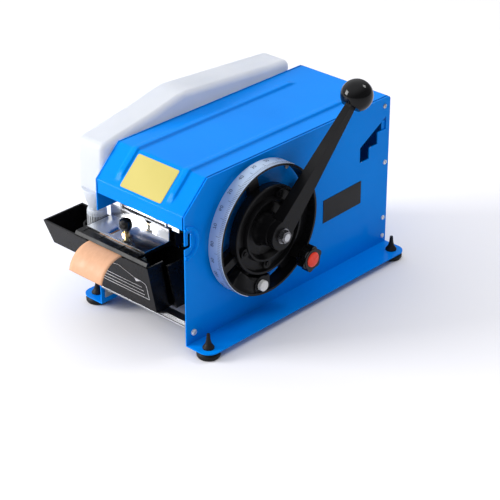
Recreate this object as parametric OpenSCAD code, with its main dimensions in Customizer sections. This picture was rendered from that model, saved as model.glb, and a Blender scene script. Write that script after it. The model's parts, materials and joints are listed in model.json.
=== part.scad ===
// Lever-operated gummed tape dispenser with a water tank, a feed bottle and a shear cutter.
// Machine frame while modelling: X = 0 midway between the side panels (+X towards the lever),
// Y = 0 at the front edge of the side panels (+Y to the rear), Z = 0 under the panel flanges.
// Every piece is then moved so that the origin is the bottom centre of the whole object.

/* [Housing] */
// Width over the two side panels
housing_w = 187; // [175:1:205]
// Length of the side panels
housing_l = 459; // [450:1:480]
// Height of the side panels above the flange
housing_h = 260; // [258:1:275]
// Thickness of the side panel sheet
panel_t = 2; // [1.5:0.25:2.5]
// Width of the outward foot flange
flange_w = 47; // [44:1:60]
// Corner radius of the foot flange
flange_r = 18; // [10:1:20]
// Distance from the front edge to the top of the sloping face
slope_y = 48; // [44:1:52]
// Height of the fold below the sloping face
slope_z = 214; // [210:1:216]
// Sheet thickness of the cover and the rear panel
sheet_t = 1.5; // [1:0.25:2]
// Height of the lower edge of the cover's front lip
lip_z = 191; // [188:1:196]
// Gap between the cover and each side panel
cover_gap = 0.8; // [0.5:0.1:1.2]
// Distance of each stiffening bead from the middle
bead_x = 54; // [45:1:65]
// Width of a stiffening bead
bead_w = 12; // [8:1:16]
// Height of a stiffening bead
bead_h = 2.2; // [1.5:0.1:3]

/* [Feet] */
// Height of the rubber foot below the flange
foot_h = 12; // [8:1:16]
// Radius of the rubber foot at the counter
foot_r = 18; // [14:1:20]
// Height of the pulled-through cone above the flange
foot_cone_h = 24; // [16:1:28]
// Distance of the foot axis from the side panel
foot_out = 27.5; // [26:0.5:29]
// Distance of the foot axis from each end of the panel
foot_in = 18; // [18:0.5:24]

/* [Dial and lever] */
// Distance of the dial axis behind the front edge
dial_y = 147; // [146:1:150]
// Height of the dial axis
dial_z = 150; // [149:1:152]
// Outer radius of the dial
dial_r = 105; // [103:1:108]
// Width of the dial's scale band
dial_w = 25; // [22:1:28]
// Gap between the dial and the side panel
dial_gap = 6; // [5:0.5:8]
// Thickness of the scale band
band_t = 1; // [0.8:0.1:1.5]
// Thickness of the dial rim under the band
rim_t = 3.5; // [3:0.5:5]
// Radius of the outer raised ring of the lever hub
hub_ring_r = 71; // [69:1:73]
// Radius of the inner raised ring of the lever hub
hub_inner_r = 49.5; // [47:0.5:52]
// Radius of the hub's central boss
boss_r = 23; // [21:1:25]
// Distance from the dial axis to the middle of the ball
lever_l = 238; // [225:1:245]
// Angle of the lever at rest, from the rearward horizontal
lever_a = 46.5; // [44:0.5:50]
// Thickness of the lever at its eye
lever_t = 12; // [10:1:14]
// Radius of the ball knob
ball_r = 25; // [20:1:27]
// Radius of the main shaft
shaft_r = 8; // [7:0.5:9]
// Angle of the length stop on the dial at rest
stop_a = -44; // [-48:1:-40]
// Radius at which the length stop's knob sits
stop_r = 100; // [98:1:102]
// Radius of the length stop's lobed knob
stop_knob_r = 21; // [18:1:22]
// Distance of the white button from the dial axis
button_place_r = 88; // [86:1:89]
// Radius of the white button
button_r = 8.5; // [7:0.5:9]
// Travel of the white button
button_travel = 4; // [2:0.5:5]
// Angle of the white button on the dial at rest
button_a = -101; // [-104:1:-98]

/* [Drive] */
// Gear module
gear_m = 1.5; // [1.5:0.01:1.52]
// Teeth of the drive gear
gear_n = 84; // [82:2:86]
// Teeth of the feed pinion
pinion_n = 20; // [19:1:21]
// Width of the drive gear
gear_w = 10; // [8:1:12]
// Radius of the rubber feed roller
feed_r = 16; // [15:0.5:16.5]
// Radius of the pressure roller
press_r = 10; // [9:0.5:10.5]
// Radius of the feed roller's shaft
feed_shaft_r = 5; // [4:0.5:5.5]
// Radius of the pressure roller's shaft
press_shaft_r = 3; // [2.5:0.5:3.5]
// Distance of the mechanism plate from the middle plane
mech_x = 20.5; // [20:0.5:23]
// Thickness of the mechanism plate
mech_t = 2.5; // [2:0.5:3]
// Radius of the tie rods
tie_r = 5; // [4:0.5:6]

/* [Tape] */
// Width of the gummed tape
tape_w = 72; // [60:1:76]
// Distance of the tape's middle from the middle plane
tape_x = -45; // [-46:0.5:-44]
// Thickness of the tape strip
tape_t = 0.4; // [0.3:0.05:0.5]
// Radius of the tape roll
roll_r = 70; // [60:1:80]
// Radius of the hole in the roll's core
core_r = 19; // [16:0.5:25]
// Height at which the tape passes the cutter
tape_z = 130.1; // [129.8:0.1:130.4]
// Radius of the curl of the dispensed tape
curl_r = 40; // [34:1:44]
// Angle of the curl of the dispensed tape
curl_a = 80; // [60:1:85]

/* [Cutter] */
// Travel of the moving blade
blade_travel = 7.5; // [6:0.5:8]
// Thickness of each blade
blade_t = 3; // [2.5:0.1:3.2]
// Distance of the shear plane behind the front edge
shear_y = 48.1; // [47.9:0.1:48.3]
// Radius of the blade guide rods
guide_rod_r = 2.5; // [2:0.25:2.75]
// Wire thickness of the blade springs
spring_wire = 1.2; // [1:0.1:1.4]
// Curls of each blade spring
spring_turns = 5; // [4:1:6]

/* [Water tank] */
// Height of the tank floor's underside, on the front bar
tank_z = 33; // [33:0.5:35]
// Height of the tank's front rim
rim_z = 125; // [124:0.5:126]
// Wall thickness of the tank
tank_wall = 3; // [2.5:0.25:3.5]
// Forward lean of the tank's front wall from bottom to rim
tank_lean = 30; // [26:1:33]
// Right side of the tank at its rim
tank_right = 45; // [42:1:48]
// Left side of the tank at its rim
tank_left = -184; // [-190:1:-182]
// Depth of the shallow left reservoir
wing_depth = 42; // [36:1:44]
// Radius of the collar that takes the bottle's cap
collar_r = 22; // [21:0.5:24]
// Length of the brush bristles
bristle_l = 25; // [20:1:28]
// Bristles along each brush
bristle_cols = 40; // [24:1:44]
// Rows of bristles in each brush
bristle_rows = 4; // [3:1:5]

/* [Pressure plate] */
// Width of the stainless pressure plate
plate_w = 126; // [120:1:130]
// Depth of the stainless pressure plate
plate_d = 51; // [48:1:52]
// Height of the pressure plate's upright back
plate_up = 19; // [16:1:21]
// Thickness of the pressure plate
plate_t = 1.5; // [1:0.25:2]
// Radius of the knob on the pressure plate
plate_knob_r = 10; // [8:0.5:12]

/* [Bottle] */
// Thickness of the water bottle
bottle_w = 60; // [54:1:62]
// Gap between the bottle and the left side panel
bottle_gap = 4; // [3.5:0.5:6]
// Distance of the bottle's rear end behind the front edge
bottle_end = 435; // [420:1:440]
// Height of the bottle's highest point
bottle_top = 291; // [286:1:294]
// Radius of the bottle's ribbed cap
cap_r = 15.5; // [14:0.5:17]
// Height of the bottle's ribbed cap
cap_h = 30; // [26:1:32]
// Grip ribs round the cap
cap_ribs = 24; // [16:2:30]

/* [Hidden] */

// clearances
run_c = 0.05;     // shaft in a bush or bore
seat_c = 0.3;     // pieces of different bodies that lie on each other
hole_c = 0.2;     // screw shank in its hole
fine = 96;        // facets that stand for a true round
eps = 0.5;        // overlap of a cutting shape past the face it cuts

// colours
blue = "#0a7fd4";
black = "#1d1d20";
zinc = "#b9bdc2";
steel = "#d2d5d9";
brass = "#c9a25a";
rubber_black = "#161616";
kraft = "#c79b6a";
milky = "#e6edf2";

// housing places
half_w = housing_w / 2;
inner_x = half_w - panel_t;
slope_len = sqrt(slope_y * slope_y + (housing_h - slope_z) * (housing_h - slope_z));
hinge_y = housing_l - 14;
hinge_z = housing_h - 14;
screw_r = 2;
head_r = 3.8;
head_h = 2.2;
rear_screw_z = [14.5, 47.5, 147];
rear_flange = 14;
rear_y = housing_l - 2 - sheet_t;
rear_top = housing_h - 40;
bolt_y = 14.6;
bolt_z = 19.4;
bolt_r = 3;
bolt_head_r = 5;
hook_y = 9.5;
hook_z = 165;
hook_w = 6;
hook_rise = 19;
notch_y = 54;
notch_top = 162;
notch_bottom = 78;
notch_r = 8;
stair_y = 388;
stair_z = 166;
stair_step = 20;
pin_r = 3;

// dial places along X
dial_x0 = half_w + dial_gap;
dial_x1 = dial_x0 + dial_w;
web_x0 = dial_x0 + 1.5;
web_t = 8;
web_x1 = web_x0 + web_t;
hub_x0 = web_x1 + 0.3;
hub_face = dial_x1 - 6;
boss_x1 = dial_x1 + 14;
eye_x1 = boss_x1 + lever_t + 0.5;
nut_x1 = eye_x1 + 7.5;
thread_r = shaft_r - 2;
rim_ri = dial_r - band_t - rim_t;
clamp_t = 4;
stop_knob_x = dial_x1 + seat_c + clamp_t + 0.3;
stop_knob_h = 18;
ball_x = boss_x1 + lever_t / 2 + 3;
ball_y = dial_y + lever_l * cos(lever_a);
ball_z = dial_z + lever_l * sin(lever_a);

// gear train
centre_d = gear_m * (gear_n + pinion_n) / 2;
feed_z = tape_z + tape_t / 2 + seat_c + feed_r;
feed_y = dial_y - sqrt(centre_d * centre_d - (dial_z - feed_z) * (dial_z - feed_z));
mesh_a = atan2(feed_z - dial_z, feed_y - dial_y);
press_z = tape_z - tape_t / 2 - seat_c - press_r;
gear_x0 = 60;
bush_r = shaft_r + 3;
feed_bush_r = feed_shaft_r + 3;
press_bush_r = press_shaft_r + 2;
tie_places = [[90, 222], [215, 222], [205, 75], [95, 65]];
roller_l = tape_w + 6;

// tape path
tape_x0 = tape_x - tape_w / 2;
bend_y = 104;
deflector_r = 5;
roll_y = 335;
roll_z = 126;
cradle_r = 9;
cradle_rod_r = 4;
cradle_span = 45;
cradle_z = roll_z - sqrt(pow(roll_r + seat_c + cradle_r, 2) - cradle_span * cradle_span);
path_r = roll_r + seat_c + tape_t / 2;
path_d = sqrt(pow(roll_y - bend_y, 2) + pow(roll_z - tape_z, 2));
path_a = asin(path_r / path_d) + atan2(roll_z - tape_z, roll_y - bend_y);
guide_x = tape_x + tape_w / 2 + 3;

// cutter places
bed_z0 = 121.5;
blade_top = tape_z - tape_t / 2 - 0.4;
blade_rest = tape_z + tape_t / 2 + 3.5;
rod_y = 46.9;
rod_left = -86.5;
rod_right = 9;
ear_z = blade_rest + 18;
bridge_z = 182;
rocker_y = 100;
rocker_z = 190;
rocker_x = 28;
rocker_w = 6;
rocker_pin_r = 4;
rocker_reach = rocker_y - rod_y;
tab_z = ear_z + 8;
cam_r = 22;
cam_reach = 32;

// tank places
tank_front = 0;
tank_step = 31;
tank_rear = 56;
body_top = 120;
tank_h = rim_z - tank_z;
side_flare = 14;
deep_left = -86;
wing_rear = 50;
wing_z = rim_z - wing_depth;
wing_front = -tank_lean * (wing_z - tank_z) / tank_h;
wing_flare = side_flare * wing_depth / tank_h;
frame_z = rim_z + 2;
frame_top = 132;
cap_x = -(half_w + bottle_gap + bottle_w / 2);
cap_y = 30;
plate_x0 = tape_x - plate_w / 2;
plate_y0 = -8.6;
plate_z = frame_top + seat_c;
knob_y = 13;
brush_z = tape_z - tape_t / 2 - seat_c - bristle_l;

// bottle places
bottle_x1 = -(half_w + bottle_gap);
bottle_x0 = bottle_x1 - bottle_w;
bottle_front = 18;
bottle_base = 165;
bottle_slope = 23;
cap_z = 143;
neck_r = cap_r - 2.6;
bottle_wall = 2;

// whole-object box at rest, for the origin
x_low = tank_left;
x_high = ball_x + ball_r;
y_low = -tank_lean - 2 - curl_r * sin(curl_a) - tape_t / 2 * sin(curl_a);
y_high = housing_l;
origin = [(x_low + x_high) / 2, (y_low + y_high) / 2, -foot_h];

module place() {
    translate(-origin)
        children();
}

// a cylinder along +X from x0 to x1 about the axis (y, z)
module rod(r, x0, x1, y = 0, z = 0, fn = fine) {
    translate([x0, y, z])
        rotate([0, 90, 0])
            cylinder(r = r, h = x1 - x0, $fn = fn);
}

// a 2D outline drawn in (Y, Z), raised along +X from x0 to x1
module side(x0, x1) {
    translate([x0, 0, 0])
        rotate([90, 0, 90])
            linear_extrude(height = x1 - x0)
                children();
}

// a box given by its two corners
module box(low, high) {
    translate(low)
        cube(high - low);
}

// a 2D bar with round ends from a to b
module bar2d(a, b, w) {
    arm2d(a, b, w, w);
    translate(a)
        circle(d = w, $fn = fine);
}

// a 2D arm from a with a round end at b
module arm2d(a, b, w, end_w) {
    d = b - a;
    translate(a)
        rotate(atan2(d[1], d[0]))
            translate([0, -w / 2])
                square([norm(d), w]);
    translate(b)
        circle(d = end_w, $fn = fine);
}

// a ribbon outline of thickness t along a list of points
function turn_at(p, i) =
    let (a = p[max(i - 1, 0)], b = p[min(i + 1, len(p) - 1)], d = b - a) [-d[1], d[0]] / norm(d);
module ribbon2d(p, t) {
    n = len(p);
    polygon(concat(
        [for (i = [0:n - 1]) p[i] + turn_at(p, i) * t / 2],
        [for (i = [n - 1:-1:0]) p[i] - turn_at(p, i) * t / 2]
    ));
}

// one unbroken coil along +Z with flat, level ends
module coil(r, wire, turns, h) {
    rings = 8;
    sides = 6;
    steps = turns * rings;
    pitch = (h - wire) / turns;
    gap = pitch - wire;
    echo(str("least gap between curls: ", gap));
    points = [
        for (i = [0:steps])
            let (a = 360 * i / rings, z = wire / 2 + pitch * i / rings)
                for (k = [0:sides - 1])
                    let (b = 360 * k / sides, q = r + wire / 2 * cos(b))
                        [q * cos(a), q * sin(a), z + wire / 2 * sin(b)]
    ];
    quads = [
        for (i = [0:steps - 1])
            for (k = [0:sides - 1])
                let (p = i * sides + k, q = i * sides + (k + 1) % sides)
                    each [[p, q + sides, q], [p, p + sides, q + sides]]
    ];
    cap0 = [for (k = [1:sides - 2]) [0, k, k + 1]];
    last = steps * sides;
    cap1 = [for (k = [1:sides - 2]) [last, last + k + 1, last + k]];
    polyhedron(points = points, faces = concat(quads, cap0, cap1), convexity = 6);
}

// involute gear outline
function inv(a) = tan(a) * 180 / PI - a;
function tooth_half(n, m, r, slack) =
    let (rp = m * n / 2, rb = rp * cos(20), q = max(r, rb))
        90 / n - slack / rp * 90 / PI + inv(20) - inv(acos(rb / q));
module gear2d(n, m, slack) {
    rp = m * n / 2;
    radii = [rp - 1.25 * m, max(rp - 0.5 * m, rp * cos(20) + 0.05), rp + 0.3 * m, rp + 0.95 * m];
    polygon([
        for (i = [0:n - 1])
            each concat(
                [for (j = [0:3]) let (a = 360 * i / n - tooth_half(n, m, radii[j], slack))
                    radii[j] * [cos(a), sin(a)]],
                [for (j = [3:-1:0]) let (a = 360 * i / n + tooth_half(n, m, radii[j], slack))
                    radii[j] * [cos(a), sin(a)]]
            )
    ]);
}

// ---------------------------------------------------------------- housing

// outline of a side panel, with its rounded rear corner
module panel_outline() {
    r = 6;
    difference() {
        polygon([[0, 0], [housing_l, 0], [housing_l, housing_h], [slope_y, housing_h], [0, slope_z]]);
        translate([housing_l - r, housing_h - r])
            square(r + eps);
    }
    translate([housing_l - r, housing_h - r])
        intersection() {
            circle(r, $fn = fine);
            square(r);
        }
}

// three-step slot near the rear of a side panel
module stair_slot() {
    s = stair_step;
    polygon([
        [stair_y, stair_z], [stair_y + s + 2, stair_z], [stair_y + s + 2, stair_z + s - 1],
        [stair_y + 2 * s + 2, stair_z + s - 1], [stair_y + 2 * s + 2, stair_z + 2 * s - 1],
        [stair_y + 3 * s + 2, stair_z + 2 * s - 1], [stair_y + 3 * s + 2, stair_z + 3 * s + 1],
        [stair_y, stair_z + 26]
    ]);
}

// hook-shaped slot that opens at the front edge
module hook_slot() {
    translate([-eps, hook_z - hook_w / 2])
        square([hook_y + eps, hook_w]);
    bar2d([hook_y, hook_z], [hook_y, hook_z + hook_rise], hook_w);
}

// foot flange seen from above; x runs outwards from the panel's outer face
module flange_outline() {
    r = flange_r;
    square([flange_w - r, housing_l]);
    translate([0, r])
        square([flange_w, housing_l - 2 * r]);
    for (y = [r, housing_l - r])
        translate([flange_w - r, y])
            circle(r, $fn = fine);
}

module foot_places(side_x) {
    for (y = [foot_in, housing_l - foot_in])
        translate([side_x * (half_w + foot_out), y, 0])
            children();
}

// holes that both side panels share
module panel_holes() {
    for (z = rear_screw_z)
        translate([housing_l - rear_flange / 2 - 2, z])
            circle(screw_r + hole_c, $fn = fine);
    translate([bolt_y, bolt_z])
        circle(bolt_r + hole_c, $fn = fine);
    translate([hinge_y, hinge_z])
        circle(pin_r + run_c, $fn = fine);
    for (p = tie_places)
        translate(p)
            circle(screw_r + hole_c, $fn = fine);
    stair_slot();
}

module panel_flange() {
    difference() {
        translate([half_w - eps, 0, 0])
            linear_extrude(height = panel_t)
                union() {
                    flange_outline();
                    square([eps + 0.01, housing_l]);
                }
        foot_places(1)
            translate([0, 0, -eps])
                cylinder(r = 6.1, h = panel_t + 2 * eps, $fn = fine);
    }
}

module right_side_panel() {
    boss_ring = 25;
    color(blue) {
        difference() {
            union() {
                side(inner_x, half_w)
                    panel_outline();
                side(half_w - eps, half_w + 1.5)
                    intersection() {
                        translate([2, hook_z + 6])
                            difference() {
                                circle(boss_ring, $fn = fine);
                                circle(boss_ring - 5, $fn = fine);
                            }
                        square([60, slope_z]);
                    }
            }
            side(inner_x - eps, half_w + eps)
                union() {
                    panel_holes();
                    hook_slot();
                    translate([dial_y, dial_z])
                        circle(bush_r + run_c, $fn = fine);
                }
        }
        panel_flange();
    }
}

module left_side_panel() {
    color(blue)
        mirror([1, 0, 0]) {
            difference() {
                side(inner_x, half_w)
                    panel_outline();
                side(inner_x - eps, half_w + eps)
                    union() {
                        panel_holes();
                        translate([feed_y, feed_z])
                            circle(feed_bush_r + run_c, $fn = fine);
                        translate([feed_y, press_z])
                            circle(press_bush_r + run_c, $fn = fine);
                        translate([-eps, notch_bottom])
                            square([notch_y + eps - notch_r, notch_top - notch_bottom]);
                        translate([0, notch_bottom + notch_r])
                            square([notch_y, notch_top - notch_bottom - 2 * notch_r]);
                        for (z = [notch_bottom + notch_r, notch_top - notch_r])
                            translate([notch_y - notch_r, z])
                                circle(notch_r, $fn = fine);
                        for (p = [
                            [150, shelf_height(150) - 8], [330, shelf_height(330) - 8],
                            [roll_y - cradle_span, cradle_z], [roll_y + cradle_span, cradle_z]
                        ])
                            translate(p)
                                circle(screw_r + hole_c, $fn = fine);
                    }
            }
            panel_flange();
        }
}

module rear_panel() {
    w = inner_x - 0.2;
    color(blue)
        difference() {
            union() {
                box([-w, rear_y, 5], [w, rear_y + sheet_t, rear_top]);
                for (s = [-1, 1])
                    box([s > 0 ? w - sheet_t : -w, rear_y - rear_flange, 5],
                        [s > 0 ? w : -w + sheet_t, rear_y + sheet_t, rear_top]);
                box([-w, rear_y - 10, 5], [w, rear_y, 5 + sheet_t]);
                box([-w, rear_y - 10, rear_top - sheet_t], [w, rear_y, rear_top]);
            }
            for (z = rear_screw_z)
                rod(screw_r + hole_c, -half_w, half_w, housing_l - rear_flange / 2 - 2, z);
        }
}

// grooved aluminium bar across the front, with an ear down each end
module front_bar() {
    w = inner_x - 0.1;
    depth = 26;
    color(steel)
        difference() {
            union() {
                box([-w, 0.5, tank_z - 3.3], [w, 0.5 + depth, tank_z - 0.3]);
                for (s = [-1, 1])
                    box([s > 0 ? w - 3 : -w, 6, bolt_z - 9], [s > 0 ? w : -w + 3, 24, tank_z - 1]);
            }
            for (y = [3.5, 6.5, 9.5])
                box([-w - eps, y, tank_z - 1.1], [w + eps, y + 1.2, tank_z + eps]);
            rod(bolt_r + hole_c, -half_w, half_w, bolt_y, bolt_z);
        }
}

module mechanism_plate() {
    color(zinc)
        difference() {
            side(mech_x, mech_x + mech_t)
                polygon([
                    [62, 50], [225, 50], [225, 232], [50, 232], [50, bed_z0], [62, bed_z0]
                ]);
            side(mech_x - eps, mech_x + mech_t + eps) {
                translate([dial_y, dial_z])
                    circle(bush_r + run_c, $fn = fine);
                translate([feed_y, feed_z])
                    circle(feed_bush_r + run_c, $fn = fine);
                translate([feed_y, press_z])
                    circle(press_bush_r + run_c, $fn = fine);
                for (p = tie_places)
                    translate(p)
                        circle(tie_r + run_c, $fn = fine);
                translate([rocker_y, rocker_z])
                    circle(rocker_pin_r + run_c, $fn = fine);
                for (p = [[135, 75], [200, 175]])
                    translate(p)
                        circle(12, $fn = fine);
            }
        }
}

module tie_rods() {
    color(zinc)
        for (p = tie_places) {
            rod(tie_r, -inner_x, inner_x, p[0], p[1]);
            for (s = [-1, 1]) {
                rod(screw_r, s > 0 ? inner_x - 1 : -half_w - 0.2, s > 0 ? half_w + 0.2 : -inner_x + 1,
                    p[0], p[1]);
                rod(head_r, s > 0 ? half_w + 0.05 : -half_w - head_h,
                    s > 0 ? half_w + head_h : -half_w - 0.05, p[0], p[1]);
            }
        }
}

// rubber foot: pad under the flange, waist in the hole, cone pulled up through it
module foot() {
    color(rubber_black)
        rotate_extrude($fn = fine)
            polygon([
                [0, -foot_h], [foot_r - 2, -foot_h], [foot_r, -foot_h + 3], [foot_r, -5],
                [foot_r - 4, -0.02], [6, -0.02], [6, panel_t + 0.02], [9, panel_t + 0.02],
                [9, panel_t + 2], [5, panel_t + 8], [3.5, panel_t + 14],
                [2.5, panel_t + foot_cone_h], [0, panel_t + foot_cone_h]
            ]);
}

module rubber_feet() {
    foot_places(1)
        foot();
    foot_places(-1)
        foot();
}

// pan head screw through a side panel; s = 1 on the lever side
module side_screw(s, y, z, r, hr, hh, grip) {
    x = s * (half_w + 0.05);
    translate([x, y, z])
        rotate([0, s * 90, 0]) {
            difference() {
                union() {
                    cylinder(r = hr, h = hh * 0.6, $fn = fine);
                    translate([0, 0, hh * 0.6])
                        cylinder(r1 = hr, r2 = hr * 0.7, h = hh * 0.4, $fn = fine);
                }
                for (a = [0, 90])
                    rotate(a)
                        translate([-hr * 0.55, -0.5, hh * 0.5])
                            cube([hr * 1.1, 1, hh]);
            }
            translate([0, 0, -grip])
                cylinder(r = r, h = grip + 0.1, $fn = fine);
        }
}

module panel_screws() {
    color(steel)
        for (s = [-1, 1])
            for (z = rear_screw_z)
                side_screw(s, housing_l - rear_flange / 2 - 2, z, screw_r, head_r, head_h, panel_t + 4);
}

module front_bolts() {
    color(steel)
        for (s = [-1, 1])
            side_screw(s, bolt_y, bolt_z, bolt_r, bolt_head_r, 3.5, panel_t + 6);
}

module hinge_pins() {
    color(steel)
        for (s = [-1, 1])
            side_screw(s, hinge_y, hinge_z, pin_r, head_r, 1.8, panel_t + 8);
}

// plain black plate, left without any wording
module nameplate() {
    color(black)
        side(half_w, half_w + 0.8)
            polygon([[302, 92], [392, 95], [392, 134], [302, 131]]);
}

// ---------------------------------------------------------------- bearings and guides

module flanged_bush(r_in, r_out, x0, x1, flange_at, y, z, flange_step) {
    difference() {
        union() {
            rod(r_out, x0, x1, y, z);
            rod(r_out + 3, flange_at, flange_at + flange_step, y, z);
        }
        rod(r_in + run_c, x0 - eps, x1 + eps, y, z);
    }
}

module shaft_bushes() {
    color(brass) {
        flanged_bush(shaft_r, bush_r, inner_x - 4, half_w + 2, half_w + 0.05, dial_y, dial_z, 2);
        flanged_bush(shaft_r, bush_r, mech_x - 3, mech_x + mech_t + 3, mech_x - 3, dial_y, dial_z, 2.95);
    }
}

// two for the feed shaft and two for the pressure roller
module roller_bushes() {
    color(brass)
        for (q = [[feed_shaft_r, feed_bush_r, feed_z], [press_shaft_r, press_bush_r, press_z]]) {
            flanged_bush(q[0], q[1], -half_w - 1, -inner_x + 3, -inner_x + 0.05, feed_y, q[2], 2);
            flanged_bush(q[0], q[1], mech_x - 3, mech_x + mech_t + 2, mech_x - 3, feed_y, q[2], 2.95);
        }
}

// sheet under the tape between the roll and the feed rollers, with a rail down each end
module tape_guide() {
    y0 = feed_y + 18;
    y1 = y0 + 40;
    top = tape_z - tape_t / 2 - seat_c;
    color(zinc) {
        side(-inner_x + 0.1, mech_x - 0.1)
            polygon([
                [y0, top - 6], [y0 + 1.2, top - 6], [y0 + 1.2, top - 1.2], [y1 - 1.2, top - 1.2],
                [y1 - 1.2, top - 8], [y1, top - 8], [y1, top], [y0, top]
            ]);
        for (x = [-inner_x + 0.1, mech_x - 0.1 - sheet_t])
            box([x, y0 + 6, top - 22], [x + sheet_t, y1 - 6, top - 0.6]);
    }
}

// rod above the tape where it turns from the roll towards the rollers
module deflector_rod() {
    h = path_a / 2;
    reach = (deflector_r + seat_c + tape_t / 2) / cos(h);
    y = bend_y - reach * sin(h);
    z = tape_z + reach * cos(h);
    color(steel) {
        rod(deflector_r, -inner_x + 0.05, mech_x - 0.05, y, z);
    }
}

function strip_line() = [
    [shear_y + 0.6, tape_z],
    [feed_y, tape_z],
    [bend_y - 2, tape_z],
    [bend_y + 2 * cos(path_a), tape_z + 2 * sin(path_a)],
    [roll_y - path_r * sin(path_a), roll_z + path_r * cos(path_a)]
];

module threaded_tape() {
    color(kraft)
        side(tape_x0, tape_x0 + tape_w)
            ribbon2d(strip_line(), tape_t);
}

// ---------------------------------------------------------------- cutter

module blade_bed() {
    x0 = -inner_x + 0.05;
    x1 = mech_x - 0.05;
    color(black)
        difference() {
            union() {
                box([x0, shear_y + blade_t + 0.3, bed_z0], [x1, 58.5, blade_top - 0.6]);
                box([x0, shear_y + blade_t + 0.3, bed_z0], [x0 + 5, 60.7, blade_top - 0.6]);
                for (x = [rod_left, rod_right])
                    box([x - 4, rod_y - 3.4, bed_z0], [x + 4, 54, blade_top - 0.6]);
                box([x0, shear_y + blade_t + 0.3, bed_z0], [rod_left, 54, blade_top - 0.6]);
            }
            for (x = [rod_left, rod_right])
                translate([x, rod_y, bed_z0 - eps])
                    cylinder(r = guide_rod_r + run_c, h = 20, $fn = fine);
        }
}

module fixed_blade() {
    color(steel)
        box([rod_left + 4.2, shear_y + 0.05, bed_z0], [rod_right - 4.2, shear_y + blade_t, blade_top]);
}

module guide_rods() {
    color(steel)
        for (x = [rod_left, rod_right])
            translate([x, rod_y, bed_z0])
                cylinder(r = guide_rod_r, h = bridge_z + 6 - bed_z0, $fn = fine);
}

module cutter_bridge() {
    x0 = -inner_x + 0.05;
    x1 = mech_x - 0.05;
    color(black)
        difference() {
            union() {
                box([x0, rod_y - 3, bridge_z], [x1, 58, bridge_z + 6]);
                box([x0, 52, bridge_z - 8], [x0 + 4, 66, bridge_z + 6]);
                box([x1 - 4, 52, bridge_z - 8], [x1, 66, bridge_z + 6]);
            }
            for (x = [rod_left, rod_right])
                translate([x, rod_y, bridge_z - eps])
                    cylinder(r = guide_rod_r + run_c, h = 20, $fn = fine);
        }
}

module moving_blade() {
    y0 = shear_y - blade_t;
    y1 = shear_y - 0.05;
    x1 = rocker_x + rocker_w + 2;
    color(steel)
        difference() {
            union() {
                box([rod_left + 5.6, y0, blade_rest], [rod_right - 5.6, y1, tab_z]);
                box([rod_left - 3.5, y0, ear_z], [x1, y1, tab_z]);
                for (x = [rod_left, rod_right])
                    translate([x, rod_y, ear_z])
                        cylinder(r = guide_rod_r + 1.6, h = tab_z - ear_z, $fn = fine);
            }
            for (x = [rod_left, rod_right])
                translate([x, rod_y, ear_z - eps])
                    cylinder(r = guide_rod_r + run_c, h = 30, $fn = fine);
        }
}

// coil springs that lift the moving blade on its guide rods
module blade_springs() {
    z0 = blade_top - 0.6;
    color(steel)
        for (x = [rod_left, rod_right])
            translate([x, rod_y, z0 + 0.05])
                coil(guide_rod_r + spring_wire / 2 + 0.3, spring_wire, spring_turns, ear_z - z0 - 0.1);
}

module rocker_pin() {
    color(steel) {
        rod(rocker_pin_r, mech_x - 2, rocker_x + rocker_w + 2, rocker_y, rocker_z);
        rod(rocker_pin_r + 2.5, mech_x - 4, mech_x - 0.05, rocker_y, rocker_z);
        rod(rocker_pin_r + 2.5, rocker_x + rocker_w + 0.3, rocker_x + rocker_w + 2.5, rocker_y, rocker_z);
    }
}

// two-armed rocker: the nose presses the blade's tab, the tail meets the cam lobe
module cut_rocker() {
    nose = [rod_y - 0.5, tab_z + 4.3];
    tail = [125, 175];
    color(zinc)
        difference() {
            union() {
                side(rocker_x, rocker_x + rocker_w)
                    union() {
                        arm2d([rocker_y, rocker_z], nose, 7, 8);
                        arm2d([rocker_y, rocker_z], tail, 7, 8);
                    }
                rod(9, rocker_x, rocker_x + rocker_w, rocker_y, rocker_z);
            }
            rod(rocker_pin_r + run_c, rocker_x - eps, rocker_x + rocker_w + eps, rocker_y, rocker_z);
        }
}

// ---------------------------------------------------------------- drive

module main_shaft() {
    color(steel) {
        rod(shaft_r, mech_x - 5, eye_x1 - 1, dial_y, dial_z);
        rod(thread_r, eye_x1 - 2, nut_x1 + 1, dial_y, dial_z);
        rod(shaft_r + 3, mech_x - 7, mech_x - 5 + 0.2, dial_y, dial_z);
    }
}

module drive_gear() {
    web = 4;
    color(zinc)
        difference() {
            union() {
                translate([gear_x0, dial_y, dial_z])
                    rotate([90, 0, 90])
                        rotate(mesh_a)
                            linear_extrude(height = gear_w)
                                gear2d(gear_n, gear_m, 0.25);
                rod(16, gear_x0 - 4, gear_x0 + gear_w + 4, dial_y, dial_z);
            }
            for (x = [gear_x0 - eps, gear_x0 + gear_w / 2 + web / 2])
                difference() {
                    rod(54, x, x + (gear_w - web) / 2 + eps, dial_y, dial_z);
                    rod(16, x - eps, x + gear_w, dial_y, dial_z);
                }
            for (a = [0:60:300])
                rod(9, gear_x0 - eps, gear_x0 + gear_w + eps,
                    dial_y + 35 * cos(a + 15), dial_z + 35 * sin(a + 15));
            rod(shaft_r + run_c, gear_x0 - 10, gear_x0 + gear_w + 10, dial_y, dial_z);
        }
}

// cam that trips the cutter's rocker at the end of the return stroke
module cut_cam() {
    lobe_a = 131.3 + 16;
    color(zinc)
        difference() {
            union() {
                rod(cam_r, rocker_x, rocker_x + rocker_w, dial_y, dial_z);
                rod(14, rocker_x, rocker_x + rocker_w + 8, dial_y, dial_z);
                translate([rocker_x, dial_y, dial_z])
                    rotate([90, 0, 90])
                        rotate(lobe_a)
                            translate([cam_r - 4, -3, 0])
                                cube([cam_reach - cam_r + 4, 6, rocker_w]);
            }
            rod(shaft_r + run_c, rocker_x - eps, rocker_x + rocker_w + 10, dial_y, dial_z);
        }
}

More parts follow.
